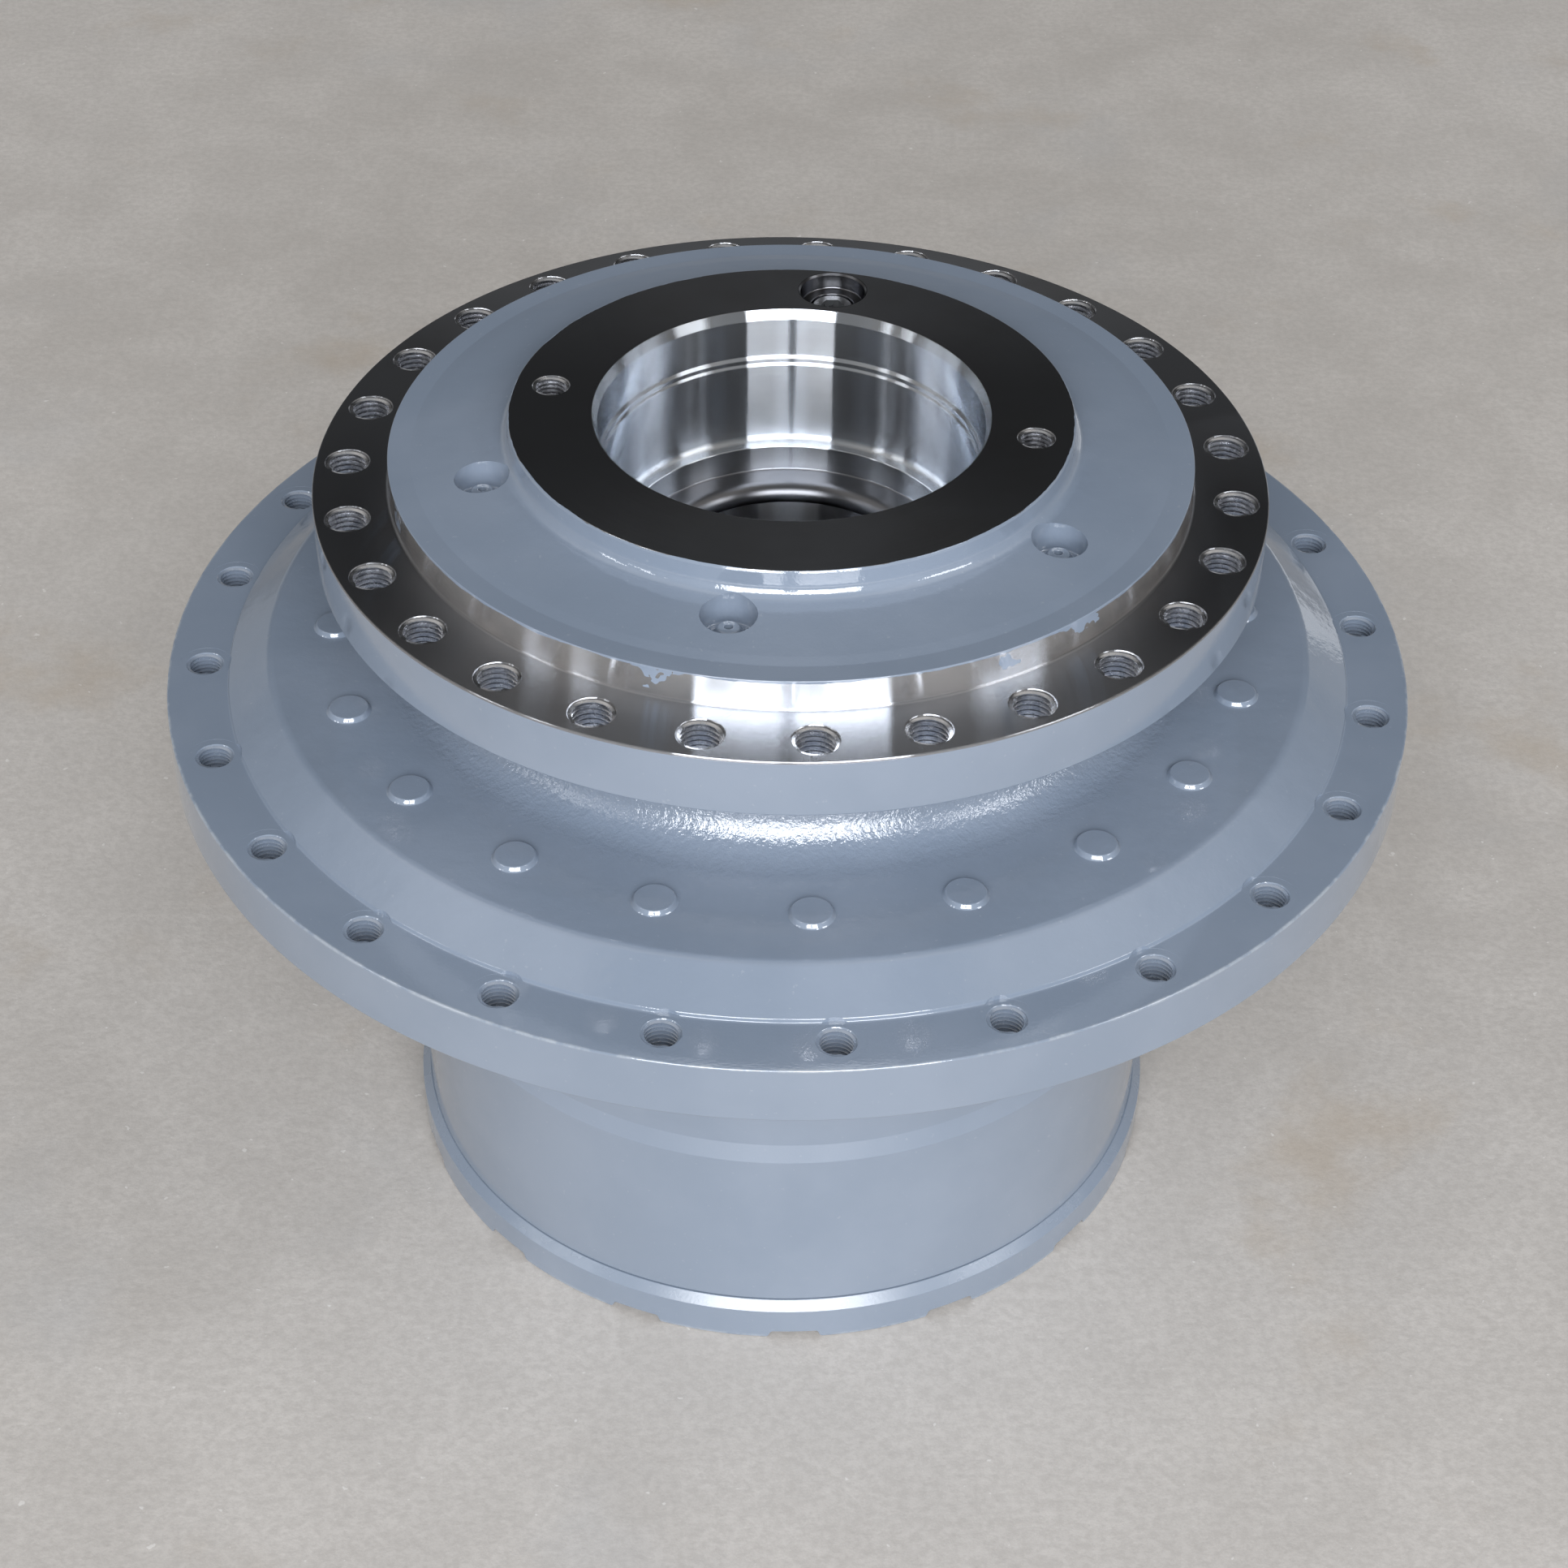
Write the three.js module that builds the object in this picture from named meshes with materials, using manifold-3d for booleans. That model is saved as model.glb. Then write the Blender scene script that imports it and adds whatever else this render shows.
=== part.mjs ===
// Planetary final-drive gearbox of a large tracked machine, in millimetres, +Z up.
//
// The gear axis is the Z axis. z = 0 is the face of the end cover that rests on the floor, and +Z runs
// through the two planetary stages, the main bearings and the face seal to the hub that bolts to the frame.
//
// The hub stands still on the machine. The drum, with its ring gear and cover, turns around it:
//   input sun -> first planets -> first carrier -> final sun -> final planets (on the hub) -> ring gear.

import * as THREE from "three";
import { mergeVertices } from "three/addons/utils/BufferGeometryUtils.js";
import Module from "manifold-3d";

const wasm = await Module();
wasm.setup();

// ---------- driving dimensions ----------

const GAP = 0.35; // running or assembly gap between neighbouring pieces
const ROUND = 28; // facets on the large turned surfaces
const SMALL_ROUND = 12; // facets on pins and bushes
const HOLE_ROUND = 8; // facets on bolt holes

const COVER = { r: 225.8, rimTop: 26.5, chamfer: 5.1, plate: [8, 22], spigotR: 197, spigotTop: 33 };
const NOTCH = { count: 15, start: 2.4, width: 30, depth: 5, innerR: 194 };
const SCREW = { pcr: 208.7, r: 6, headR: 12.1, headH: 6, top: 50 };

const RING = { bottom: 26.9, r: 220.4, stepZ: [137.3, 147.5], upperR: 216.5, boreR: 199.2 };
const RING_FLANGE = { r: 276, z: [284, 311.6] };
const RING_TEETH_TOP = 192;
const RING_BOLT = { count: 20, start: 3.1, pcr: 255.4, r: 8, headR: 13.8, headH: 10, top: 340 };

const DRUM = { r: 350, flangeZ: [298.4, 332.4], coneFootR: 316, plateauR: 291, plateauZ: 350.8 };
const NECK = { r: 199, fillet: 35, top: 404, cavityR: 186.5, cavityZ: 381 };
const PAD = { r: 11.5, h: 2.6 };
const SPROCKET_HOLE = { count: 24, start: 4.6, pcr: 329.6, r: 9.8 };

const HUB = { r: 260, flangeZ: [418.1, 451.5], stepR: 218.4, stepZ: 469, bossR: 153, faceZ: 489 };
const FRAME_HOLE = { count: 27, start: 3.3, pcr: 242.5, r: 11.6 };
const MOTOR_BORE = { r: 105, chamferR: 107.7, r2: 102.3, ledge2Z: 411, r3: 94, floorZ: 385, holeR: 74.4 };
const SPINDLE = { sealR: 158, seatR: 140.3, threadR: 138, end: 200, splineR: 104.5, splineTop: 233 };

const BEARING = { boreR: 140.7, outR: 182, height: 46, upperZ: 332.4, lowerZ: 229.6 };
const SEAL = { innerR: 163, outerR: 178, mid: 395, height: 13, oRingR: 180, oRingMinor: 4.4 };

const MODULE = 6;
const ADDENDUM = 0.8 * MODULE;
const DEDENDUM = 1.05 * MODULE;
const TOOTH_THINNING = 0.2; // taken off each flank, at the pitch circle
const TEETH = { sun: 15, planet: 24, ring: 63 };
const CENTRE_DISTANCE = ((TEETH.sun + TEETH.planet) * MODULE) / 2;
const PRESSURE_ANGLE = THREE.MathUtils.degToRad(20);

const FIRST = { gearZ: [40, 72], plateZ: [76, 92], pinR: 16, pinZ: [33, 91], boreR: 20, carrierR: 146 };
const FINAL = { gearZ: [114, 178], lowerZ: [98, 110], upperZ: [182, 193], pinR: 20, boreR: 25, r: 160 };
const SUN_BORE = 23;
const SHAFT = { r: 19, splineR: 22, splineZ: [330, 372], teeth: 12, bottom: 33 };

// ---------- colours ----------

const paint = [0x7d8a9c, 0.42, 0.1];
const turnedSteel = [0xb8bcc2, 0.25, 0.95];
const gearSteel = [0x8e9196, 0.35, 0.9];
const zincSteel = [0x9a9da3, 0.4, 0.85];
const bronze = [0xb08a4a, 0.4, 0.9];
const rubber = [0x1b1c1e, 0.8, 0.0];

const material = ([color, roughness, metalness]) =>
  new THREE.MeshStandardMaterial({ color, roughness, metalness });

// ---------- shape helpers ----------

// A closed three.js geometry as a manifold solid, whichever way its faces were wound.
function solid(geometry) {
  const g = geometry.clone();
  g.deleteAttribute("normal");
  g.deleteAttribute("uv");
  const merged = mergeVertices(g, 1e-4);
  const triVerts = new Uint32Array(merged.index.array);
  const vertProperties = merged.attributes.position.array;
  const made = new wasm.Manifold(new wasm.Mesh({ numProp: 3, vertProperties, triVerts }));
  if (made.volume() > 0) return made;
  for (let i = 0; i < triVerts.length; i += 3) {
    [triVerts[i + 1], triVerts[i + 2]] = [triVerts[i + 2], triVerts[i + 1]];
  }
  return new wasm.Manifold(new wasm.Mesh({ numProp: 3, vertProperties, triVerts }));
}

const points = (pairs) => pairs.map(([x, y]) => new THREE.Vector2(x, y));

// A turned piece: [radius, z] corners, closed on itself or with both ends on the axis.
function turned(corners, facets = ROUND) {
  const onAxis = corners[0][0] === 0 && corners.at(-1)[0] === 0;
  const profile = points(onAxis ? corners : [...corners, corners[0]]);
  return solid(new THREE.LatheGeometry(profile, facets).rotateX(Math.PI / 2));
}

const tube = (rIn, rOut, z0, z1, facets = ROUND) =>
  turned([[rIn, z0], [rOut, z0], [rOut, z1], [rIn, z1]], facets);

const rod = (r, z0, z1, facets = SMALL_ROUND) =>
  turned([[0, z0], [r, z0], [r, z1], [0, z1]], facets);

// A prism of an outline in the XY plane, between two heights.
function prism(outline, z0, z1) {
  const options = { depth: z1 - z0, bevelEnabled: false };
  return solid(new THREE.ExtrudeGeometry(new THREE.Shape(outline), options).translate(0, 0, z0));
}

const box = (x0, x1, y0, y1, z0, z1) => prism(points([[x0, y0], [x1, y0], [x1, y1], [x0, y1]]), z0, z1);

// Corners along an arc of a profile, from angle a0 to a1 in degrees.
function arc(cr, cz, radius, a0, a1, steps) {
  const curve = new THREE.EllipseCurve(cr, cz, radius, radius, ...[a0, a1].map(THREE.MathUtils.degToRad), a1 < a0);
  return curve.getPoints(steps).map((p) => [p.x, p.y]);
}

// The polar place of a piece: azimuth 0 is -Y, and it grows towards +X.
function polar(radius, azimuth) {
  const a = THREE.MathUtils.degToRad(azimuth - 90);
  return [radius * Math.cos(a), radius * Math.sin(a)];
}

const placed = (piece, radius, azimuth) =>
  piece.rotate([0, 0, azimuth - 90]).translate([...polar(radius, azimuth), 0]);

// One solid repeated around the axis, as one solid that cuts or joins in a single step.
const ringOf = (piece, { count, start, pcr }) =>
  wasm.Manifold.union(Array.from({ length: count }, (_, i) => placed(piece, pcr, start + (360 / count) * i)));

function hexagon(acrossCorners) {
  return points(Array.from({ length: 6 }, (_, i) => {
    const a = (Math.PI / 3) * i;
    return [(acrossCorners / 2) * Math.cos(a), (acrossCorners / 2) * Math.sin(a)];
  }));
}

// ---------- gears ----------

// The outline of an involute gear. `grow` moves every flank and diameter outwards by that much.
function gearOutline(teeth, tip, root, grow) {
  const pitchR = (teeth * MODULE) / 2;
  const baseR = pitchR * Math.cos(PRESSURE_ANGLE);
  const involute = (angle) => Math.tan(angle) - angle;
  const halfAngle = (r) => {
    const here = Math.acos(Math.min(1, baseR / Math.max(r, baseR)));
    return Math.PI / (2 * teeth) + grow / pitchR + involute(PRESSURE_ANGLE) - involute(here);
  };
  const outline = [];
  for (let i = 0; i < teeth; i++) {
    const centre = (2 * Math.PI * i) / teeth;
    for (const [r, side] of [[root, -1], [tip, -1], [tip, 1], [root, 1]]) {
      const a = centre + side * halfAngle(r);
      outline.push(new THREE.Vector2((r + grow) * Math.cos(a), (r + grow) * Math.sin(a)));
    }
  }
  return outline;
}

function externalGear(teeth, z0, z1, grow = -TOOTH_THINNING) {
  const pitchR = (teeth * MODULE) / 2;
  return prism(gearOutline(teeth, pitchR + ADDENDUM, pitchR - DEDENDUM, grow), z0, z1);
}

// The cutter that leaves the ring gear's teeth: its own teeth are the ring's tooth spaces.
function ringCutter(z0, z1) {
  const pitchR = (TEETH.ring * MODULE) / 2;
  const half = Math.PI / TEETH.ring;
  const outline = gearOutline(TEETH.ring, pitchR + DEDENDUM, pitchR - ADDENDUM, TOOTH_THINNING);
  return prism(outline.map((p) => p.rotateAround(new THREE.Vector2(), half)), z0, z1);
}

// Where a planet stands, and the turn that puts it in mesh with a sun that has a tooth on +X.
const planetAngle = (i) => (2 * Math.PI * i) / 3;
const planetTurn = (i) =>
  planetAngle(i) * (1 + TEETH.sun / TEETH.planet) + Math.PI - Math.PI / TEETH.planet;

function atPlanet(piece, i, turn = 0) {
  const a = planetAngle(i);
  const at = [CENTRE_DISTANCE * Math.cos(a), CENTRE_DISTANCE * Math.sin(a), 0];
  return piece.rotate([0, 0, THREE.MathUtils.radToDeg(turn)]).translate(at);
}

// ---------- hub: stands still ----------

function hubSpindle() {
  const [low, high] = HUB.flangeZ;
  const m = MOTOR_BORE;
  let hub = turned([
    [HUB.bossR, HUB.faceZ],
    ...arc(HUB.bossR + 14, HUB.faceZ - 1, 14, 180, 270, 3),
    [201, HUB.stepZ + 0.6],
    [HUB.stepR, HUB.stepZ],
    [HUB.stepR, high],
    [HUB.r, high],
    [HUB.r, low],
    [198.5, low],
    [198.5, NECK.top + 3.5],
    [188, NECK.top + 3.5],
    [188, 414],
    [SPINDLE.sealR, 414],
    [SPINDLE.sealR, 379],
    [SPINDLE.seatR, 379],
    [SPINDLE.seatR, BEARING.lowerZ],
    [SPINDLE.threadR, BEARING.lowerZ - 1.5],
    [SPINDLE.threadR, SPINDLE.end],
    [SPINDLE.splineR, SPINDLE.end],
    [SPINDLE.splineR, SPINDLE.splineTop],
    [98, SPINDLE.splineTop],
    [98, 340],
    [m.holeR, 358],
    [m.holeR, m.floorZ],
    [m.r3, m.floorZ],
    [m.r3, m.ledge2Z - 6],
    [m.r2, m.ledge2Z],
    [m.r2, 457],
    [m.r, 460],
    [m.r, 483.4],
    [m.chamferR, HUB.faceZ],
  ]);
  hub = hub.subtract(ringOf(rod(FRAME_HOLE.r, low - 1, high + 1, HOLE_ROUND), FRAME_HOLE));
  for (const azimuth of PORTS.azimuths) hub = hub.subtract(placed(drilledPort(), PORTS.pcr, azimuth));
  for (const azimuth of JACK_HOLES.azimuths) {
    hub = hub.subtract(placed(rod(JACK_HOLES.r, 459, 490, HOLE_ROUND), JACK_HOLES.pcr, azimuth));
  }
  hub = hub.subtract(placed(rod(PLUGGED_PORT.r, PLUGGED_PORT.z, 490), PLUGGED_PORT.pcr, PLUGGED_PORT.azimuth));
  hub = hub.subtract(placed(rod(PLUGGED_PORT.plugR + GAP, 460, 490), PLUGGED_PORT.pcr, PLUGGED_PORT.azimuth));
  return hub.subtract(keySlot(GAP, SPINDLE.end - 1, 229));
}

const PORTS = { azimuths: [-74.4, -10.2, 55], pcr: 170.5, r: 14.8, floor: 461.5, tip: 457 };
const JACK_HOLES = { azimuths: [-99.4, 79.4], pcr: 133, r: 9.4 };
const PLUGGED_PORT = { azimuth: 170.2, pcr: 131.6, r: 19, z: 480.2, plugR: 12 };

// A drilled oil port with the cone that a drill leaves at its bottom.
const drilledPort = () =>
  turned([[0, PORTS.tip], [PORTS.r, PORTS.floor], [PORTS.r, 490], [0, 490]], SMALL_ROUND);

function portPlug() {
  const plug = rod(PLUGGED_PORT.plugR, 462, 479);
  const socket = prism(hexagon(14), 471, 480);
  return placed(plug.subtract(socket), PLUGGED_PORT.pcr, PLUGGED_PORT.azimuth);
}

// The slot along the spindle's thread that the nut's lock plate reaches into.
const keySlot = (gap, z0, z1) => box(131 - gap, 139, -7 - gap, 7 + gap, z0, z1);

function bearingNut() {
  const nut = tube(SPINDLE.threadR + GAP, 163, 208, BEARING.lowerZ - 2);
  const slot = box(156, 165, -6, 6, 207, 230);
  const screwHole = rod(3.6, 207, 222, 6).translate([148, 0, 0]);
  return nut.subtract(ringOf(slot, { count: 4, start: 45, pcr: 0 })).subtract(screwHole);
}

const lockPlate = () =>
  box(131.5, 157, -6.6, 6.6, 203.4, 207.6).subtract(rod(3.6, 203, 208, 6).translate([148, 0, 0]));

const lockScrew = () =>
  rod(3.2, 202, 220, 6)
    .add(prism(hexagon(11.5), 199.4, 203))
    .translate([148, 0, 0]);

function finalCarrier() {
  const [l0, l1] = FINAL.lowerZ;
  const [u0, u1] = FINAL.upperZ;
  const web = box(64, 152, -23, 23, l1 - 1, u0 + 1);
  let carrier = tube(56, FINAL.r, l0, l1, 24)
    .add(tube(56, FINAL.r, u0, u1, 24))
    .add(tube(80, SPINDLE.splineR - GAP, u1 - 1, SPINDLE.splineTop - 1));
  for (let i = 0; i < 3; i++) {
    carrier = carrier.add(web.rotate([0, 0, 60 + 120 * i]));
    carrier = carrier.subtract(atPlanet(rod(FINAL.pinR + GAP, l0 - 1, u1 + 1), i));
  }
  return carrier;
}

// ---------- main bearings: tapered rollers, small ends facing each other ----------

const CONE_R = [148, 154]; // inner race, at the small and the large end
const CUP_R = [168.5, 174.5]; // outer race
const CAGE_R = [158.4, 164.2]; // pitch line of the rollers

// Turns a profile given from the small end (0) to the large end (1) of a bearing into [radius, z].
function bearingPiece(corners, upper, facets) {
  const from = upper ? BEARING.upperZ : BEARING.lowerZ + BEARING.height;
  const sign = upper ? 1 : -1;
  return turned(corners.map(([r, share]) => [r, from + sign * share * BEARING.height]), facets);
}

const innerRace = (upper) =>
  bearingPiece([[BEARING.boreR, 0], [CONE_R[0], 0], [CONE_R[1], 1], [BEARING.boreR, 1]], upper);

const outerRace = (upper) =>
  bearingPiece([[BEARING.outR, 0], [BEARING.outR, 1], [CUP_R[1], 1], [CUP_R[0], 0]], upper);

// The cage with its rollers held in it, which goes round as one.
function rollerCage(upper) {
  const rollers = 12;
  const cage = bearingPiece([
    [CAGE_R[0] - 1.5, 0.06], [CAGE_R[0] + 1.5, 0.06], [CAGE_R[1] + 1.5, 0.94], [CAGE_R[1] - 1.5, 0.94],
  ], upper, 24);
  const length = 0.76 * BEARING.height;
  const tilt = THREE.MathUtils.radToDeg(Math.atan2(CAGE_R[1] - CAGE_R[0], 0.88 * BEARING.height));
  const middle = [(CAGE_R[0] + CAGE_R[1]) / 2, 0, (upper ? BEARING.upperZ : BEARING.lowerZ) + BEARING.height / 2];
  const roller = rod(9, -length / 2, length / 2, 6)
    .rotate([0, upper ? tilt : -tilt, 0])
    .translate(middle);
  return cage.add(ringOf(roller, { count: rollers, start: 0, pcr: 0 }));
}

// ---------- floating face seal ----------

// Two lapped rings face each other at SEAL.mid, one held by the hub and one by the drum.
const faceSealRing = (side) =>
  turned([
    [SEAL.innerR, SEAL.mid + side * GAP / 2],
    [SEAL.outerR, SEAL.mid + side * GAP / 2],
    [SEAL.outerR, SEAL.mid + side * 3],
    [SEAL.outerR - 8, SEAL.mid + side * SEAL.height],
    [SEAL.innerR, SEAL.mid + side * SEAL.height],
  ]);

const oRing = (radius, minor, z) =>
  turned(arc(radius, z, minor, 0, 288, 4));

// ---------- drum: turns ----------

function drumHousing() {
  const [low, high] = DRUM.flangeZ;
  const lowerEnd = BEARING.lowerZ - 1;
  const shoulder = [BEARING.lowerZ + BEARING.height + GAP, BEARING.upperZ - GAP];
  const bore = BEARING.outR + GAP;
  let drum = turned([
    [NECK.r, NECK.top],
    ...arc(NECK.r + NECK.fillet, DRUM.plateauZ + NECK.fillet, NECK.fillet, 180, 270, 3),
    [DRUM.plateauR - 2, DRUM.plateauZ],
    [DRUM.plateauR + 2, DRUM.plateauZ - 1.6],
    [DRUM.coneFootR, high],
    [DRUM.r, high],
    [DRUM.r, low],
    [RING_FLANGE.r + 1, low],
    [RING_FLANGE.r + 1, RING_FLANGE.z[1] + GAP],
    [RING.boreR - 0.7, RING_FLANGE.z[1] + GAP],
    [RING.boreR - 0.7, lowerEnd],
    [bore, lowerEnd],
    [bore, shoulder[0]],
    [171, shoulder[0]],
    [171, shoulder[1]],
    [bore, shoulder[1]],
    [bore, NECK.cavityZ - 1],
    [NECK.cavityR, NECK.cavityZ],
    [NECK.cavityR, NECK.top],
  ]);
  const pad = rod(PAD.r, DRUM.plateauZ - 1, DRUM.plateauZ + PAD.h, HOLE_ROUND);
  drum = drum.add(ringOf(pad, RING_BOLT));
  drum = drum.subtract(ringOf(rod(SPROCKET_HOLE.r, low - 1, high + 1, 6), SPROCKET_HOLE));
  return drum.subtract(ringOf(rod(RING_BOLT.r + 0.6, 300, RING_BOLT.top + 2, 6), RING_BOLT));
}

function ringGear() {
  const [low, high] = RING_FLANGE.z;
  const blank = turned([
    [RING.r, RING.bottom],
    [RING.r, RING.stepZ[0]],
    [RING.upperR, RING.stepZ[1]],
    [RING.upperR, low],
    [RING_FLANGE.r, low],
    [RING_FLANGE.r, high],
    [RING.boreR, high],
    [RING.boreR, RING_TEETH_TOP],
    [180, RING_TEETH_TOP],
    [180, COVER.spigotTop + 1.5],
    [COVER.spigotR + 0.6, COVER.spigotTop + 1.5],
    [COVER.spigotR + 0.6, RING.bottom],
  ]);
  return blank
    .subtract(ringCutter(COVER.spigotTop, RING_TEETH_TOP + 1))
    .subtract(ringOf(rod(RING_BOLT.r + 0.6, low - 1, high + 1, 6), RING_BOLT))
    .subtract(ringOf(rod(SCREW.r + GAP, RING.bottom - 1, SCREW.top + 2, 6), { ...NOTCH, pcr: SCREW.pcr }));
}

// The twenty hexagon bolts of the ring gear, held together by the lock wire through their heads.
function ringGearBolts() {
  const headTop = RING_FLANGE.z[0] - GAP;
  const bolt = prism(hexagon(2 * RING_BOLT.headR), headTop - RING_BOLT.headH, headTop)
    .add(rod(RING_BOLT.r, headTop - 1, RING_BOLT.top, 6));
  const wire = tube(RING_BOLT.pcr - 0.8, RING_BOLT.pcr + 0.8, headTop - 6, headTop - 4.4);
  return ringOf(bolt, RING_BOLT).add(wire);
}

function endCover() {
  const [p0, p1] = COVER.plate;
  const s = COVER.spigotR;
  let cover = turned([
    [0, p0], [176, p0], [180, 0], [COVER.r, 0],
    [COVER.r, COVER.rimTop - COVER.chamfer],
    [COVER.r - COVER.chamfer, COVER.rimTop],
    [s, COVER.rimTop], [s, 30], [s - 3, 30], [s - 3, COVER.spigotTop],
    [187, COVER.spigotTop], [185, p1], [0, p1],
  ]);
  const notch = box(NOTCH.innerR, COVER.r + 5, -NOTCH.width / 2, NOTCH.width / 2, -1, NOTCH.depth);
  const r = SCREW.r + GAP;
  const head = SCREW.headR + GAP;
  const hole = turned([
    [0, NOTCH.depth - 1], [head, NOTCH.depth - 1], [head, NOTCH.depth + 0.4],
    [r, NOTCH.depth + 0.4 + SCREW.headH], [r, COVER.rimTop + 1], [0, COVER.rimTop + 1],
  ], 6);
  cover = cover.subtract(ringOf(notch, { ...NOTCH, pcr: 0 }));
  cover = cover.subtract(ringOf(hole, { ...NOTCH, pcr: SCREW.pcr }));
  for (const p of COVER_PLUGS) cover = cover.subtract(placed(rod(p.r + GAP, p0 - 1, p1 + 1), p.pcr, p.azimuth));
  return cover;
}

const COVER_PLUGS = [{ azimuth: 0, pcr: 135, r: 14 }, { azimuth: 180, pcr: 135, r: 14 }];

function coverPlug({ azimuth, pcr, r }) {
  const [p0, p1] = COVER.plate;
  const plug = rod(r, p0 + 0.5, p1 - 0.5).add(rod(r + 4, p0 - 3.5, p0 - GAP));
  const socket = prism(hexagon(17), p0 - 4, p0 + 5);
  return placed(plug.add(rod(r - 2, p0 - 2, p0 + 2)).subtract(socket), pcr, azimuth);
}

// A countersunk screw of the end cover.
function coverScrew(azimuth) {
  const bottom = NOTCH.depth + 0.1;
  const screw = turned([
    [0, bottom], [SCREW.headR, bottom], [SCREW.r, bottom + SCREW.headH],
    [SCREW.r, SCREW.top], [0, SCREW.top],
  ], 6);
  return placed(screw, SCREW.pcr, azimuth);
}

const thrustPad = () =>
  turned([[0, COVER.plate[1] + GAP], [34, COVER.plate[1] + GAP], [34, 28], [30, 31.5], [0, 31.5]], 24);

// ---------- first stage ----------

function firstCarrier() {
  const [p0, p1] = FIRST.plateZ;
  let carrier = rod(FIRST.carrierR, p0, p1, 24).subtract(externalGear(TEETH.sun, p0 - 1, p1 + 1, GAP));
  for (let i = 0; i < 3; i++) {
    carrier = carrier.subtract(atPlanet(rod(FIRST.pinR + GAP, p0 - 1, p1 + 1), i));
  }
  return carrier;
}

const firstPin = (i) =>
  atPlanet(rod(FIRST.pinR, ...FIRST.pinZ).add(rod(23, FIRST.pinZ[0], FIRST.pinZ[0] + 4)), i);

const finalPin = (i) => atPlanet(rod(FINAL.pinR, FINAL.lowerZ[0], FINAL.upperZ[1]), i);

const planet = (stage, i) =>
  atPlanet(
    externalGear(TEETH.planet, ...stage.gearZ).subtract(rod(stage.boreR, 0, 200)),
    i,
    planetTurn(i),
  );

const bush = (stage, i) => {
  const [z0, z1] = stage.gearZ;
  const inner = (stage.pinR + GAP) / Math.cos(Math.PI / SMALL_ROUND);
  return atPlanet(tube(inner, stage.boreR - GAP, z0 - 1, z1 + 1, SMALL_ROUND), i, planetTurn(i));
};

const finalSun = () =>
  externalGear(TEETH.sun, FIRST.plateZ[0] + 1, FINAL.upperZ[1] - 2).subtract(rod(SUN_BORE, 0, 200));

// The input shaft: the first sun at its foot and the motor's spline at its head.
function inputSun() {
  const [z0, z1] = SHAFT.splineZ;
  const key = box(0, SHAFT.splineR, -2.2, 2.2, z0, z1);
  return externalGear(TEETH.sun, FIRST.gearZ[0] - 2, FIRST.gearZ[1] + 1)
    .add(rod(SHAFT.r, SHAFT.bottom, z1))
    .add(ringOf(key, { count: SHAFT.teeth, start: 0, pcr: 0 }));
}

// ---------- the assembly ----------

function mesh(name, piece, finish) {
  const made = piece.getMesh();
  const g = new THREE.BufferGeometry();
  g.setAttribute("position", new THREE.BufferAttribute(new Float32Array(made.vertProperties), 3));
  g.setIndex(new THREE.BufferAttribute(made.triVerts, 1));
  const result = new THREE.Mesh(g, material(finish));
  result.name = name;
  return result;
}

function group(name, ...meshes) {
  const g = new THREE.Group();
  g.name = name;
  g.add(...meshes);
  return g;
}

const threeOf = (make) => [0, 1, 2].map(make);

const hub = group(
  "hub",
  mesh("hub_spindle", hubSpindle(), paint),
  mesh("hub_port_plug", portPlug(), zincSteel),
  mesh("final_carrier", finalCarrier(), gearSteel),
  mesh("bearing_nut", bearingNut(), zincSteel),
  mesh("nut_lock_plate", lockPlate(), zincSteel),
  mesh("nut_lock_screw", lockScrew(), zincSteel),
  mesh("upper_bearing_inner_race", innerRace(true), turnedSteel),
  mesh("lower_bearing_inner_race", innerRace(false), turnedSteel),
  mesh("hub_seal_ring", faceSealRing(1), turnedSteel),
  mesh("hub_seal_o_ring", oRing(SEAL.oRingR, SEAL.oRingMinor, 405), rubber),
  ...threeOf((i) => mesh(`final_planet_pin_${i + 1}`, finalPin(i), turnedSteel)),
);

const drum = group(
  "drum",
  mesh("drum_housing", drumHousing(), paint),
  mesh("ring_gear", ringGear(), paint),
  mesh("ring_gear_bolts", ringGearBolts(), zincSteel),
  mesh("end_cover", endCover(), paint),
  mesh("cover_o_ring", oRing(COVER.spigotR - 1.2, 1.4, 31.8), rubber),
  mesh("cover_thrust_pad", thrustPad(), bronze),
  mesh("cover_drain_plug", coverPlug(COVER_PLUGS[0]), zincSteel),
  mesh("cover_fill_plug", coverPlug(COVER_PLUGS[1]), zincSteel),
  ...Array.from({ length: NOTCH.count }, (_, i) => {
    const name = `cover_screw_${String(i + 1).padStart(2, "0")}`;
    return mesh(name, coverScrew(NOTCH.start + (360 / NOTCH.count) * i), zincSteel);
  }),
  mesh("upper_bearing_outer_race", outerRace(true), turnedSteel),
  mesh("lower_bearing_outer_race", outerRace(false), turnedSteel),
  mesh("drum_seal_ring", faceSealRing(-1), turnedSteel),
  mesh("drum_seal_o_ring", oRing(SEAL.oRingR, SEAL.oRingMinor, 387), rubber),
);

const cages = group(
  "bearing_cages",
  mesh("upper_bearing_roller_cage", rollerCage(true), turnedSteel),
  mesh("lower_bearing_roller_cage", rollerCage(false), turnedSteel),
);

const firstStage = group(
  "first_stage",
  mesh("input_sun_shaft", inputSun(), gearSteel),
  mesh("first_carrier", firstCarrier(), gearSteel),
  ...threeOf((i) => mesh(`first_planet_${i + 1}`, planet(FIRST, i), gearSteel)),
  ...threeOf((i) => mesh(`first_planet_bush_${i + 1}`, bush(FIRST, i), bronze)),
  ...threeOf((i) => mesh(`first_planet_pin_${i + 1}`, firstPin(i), turnedSteel)),
);

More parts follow.
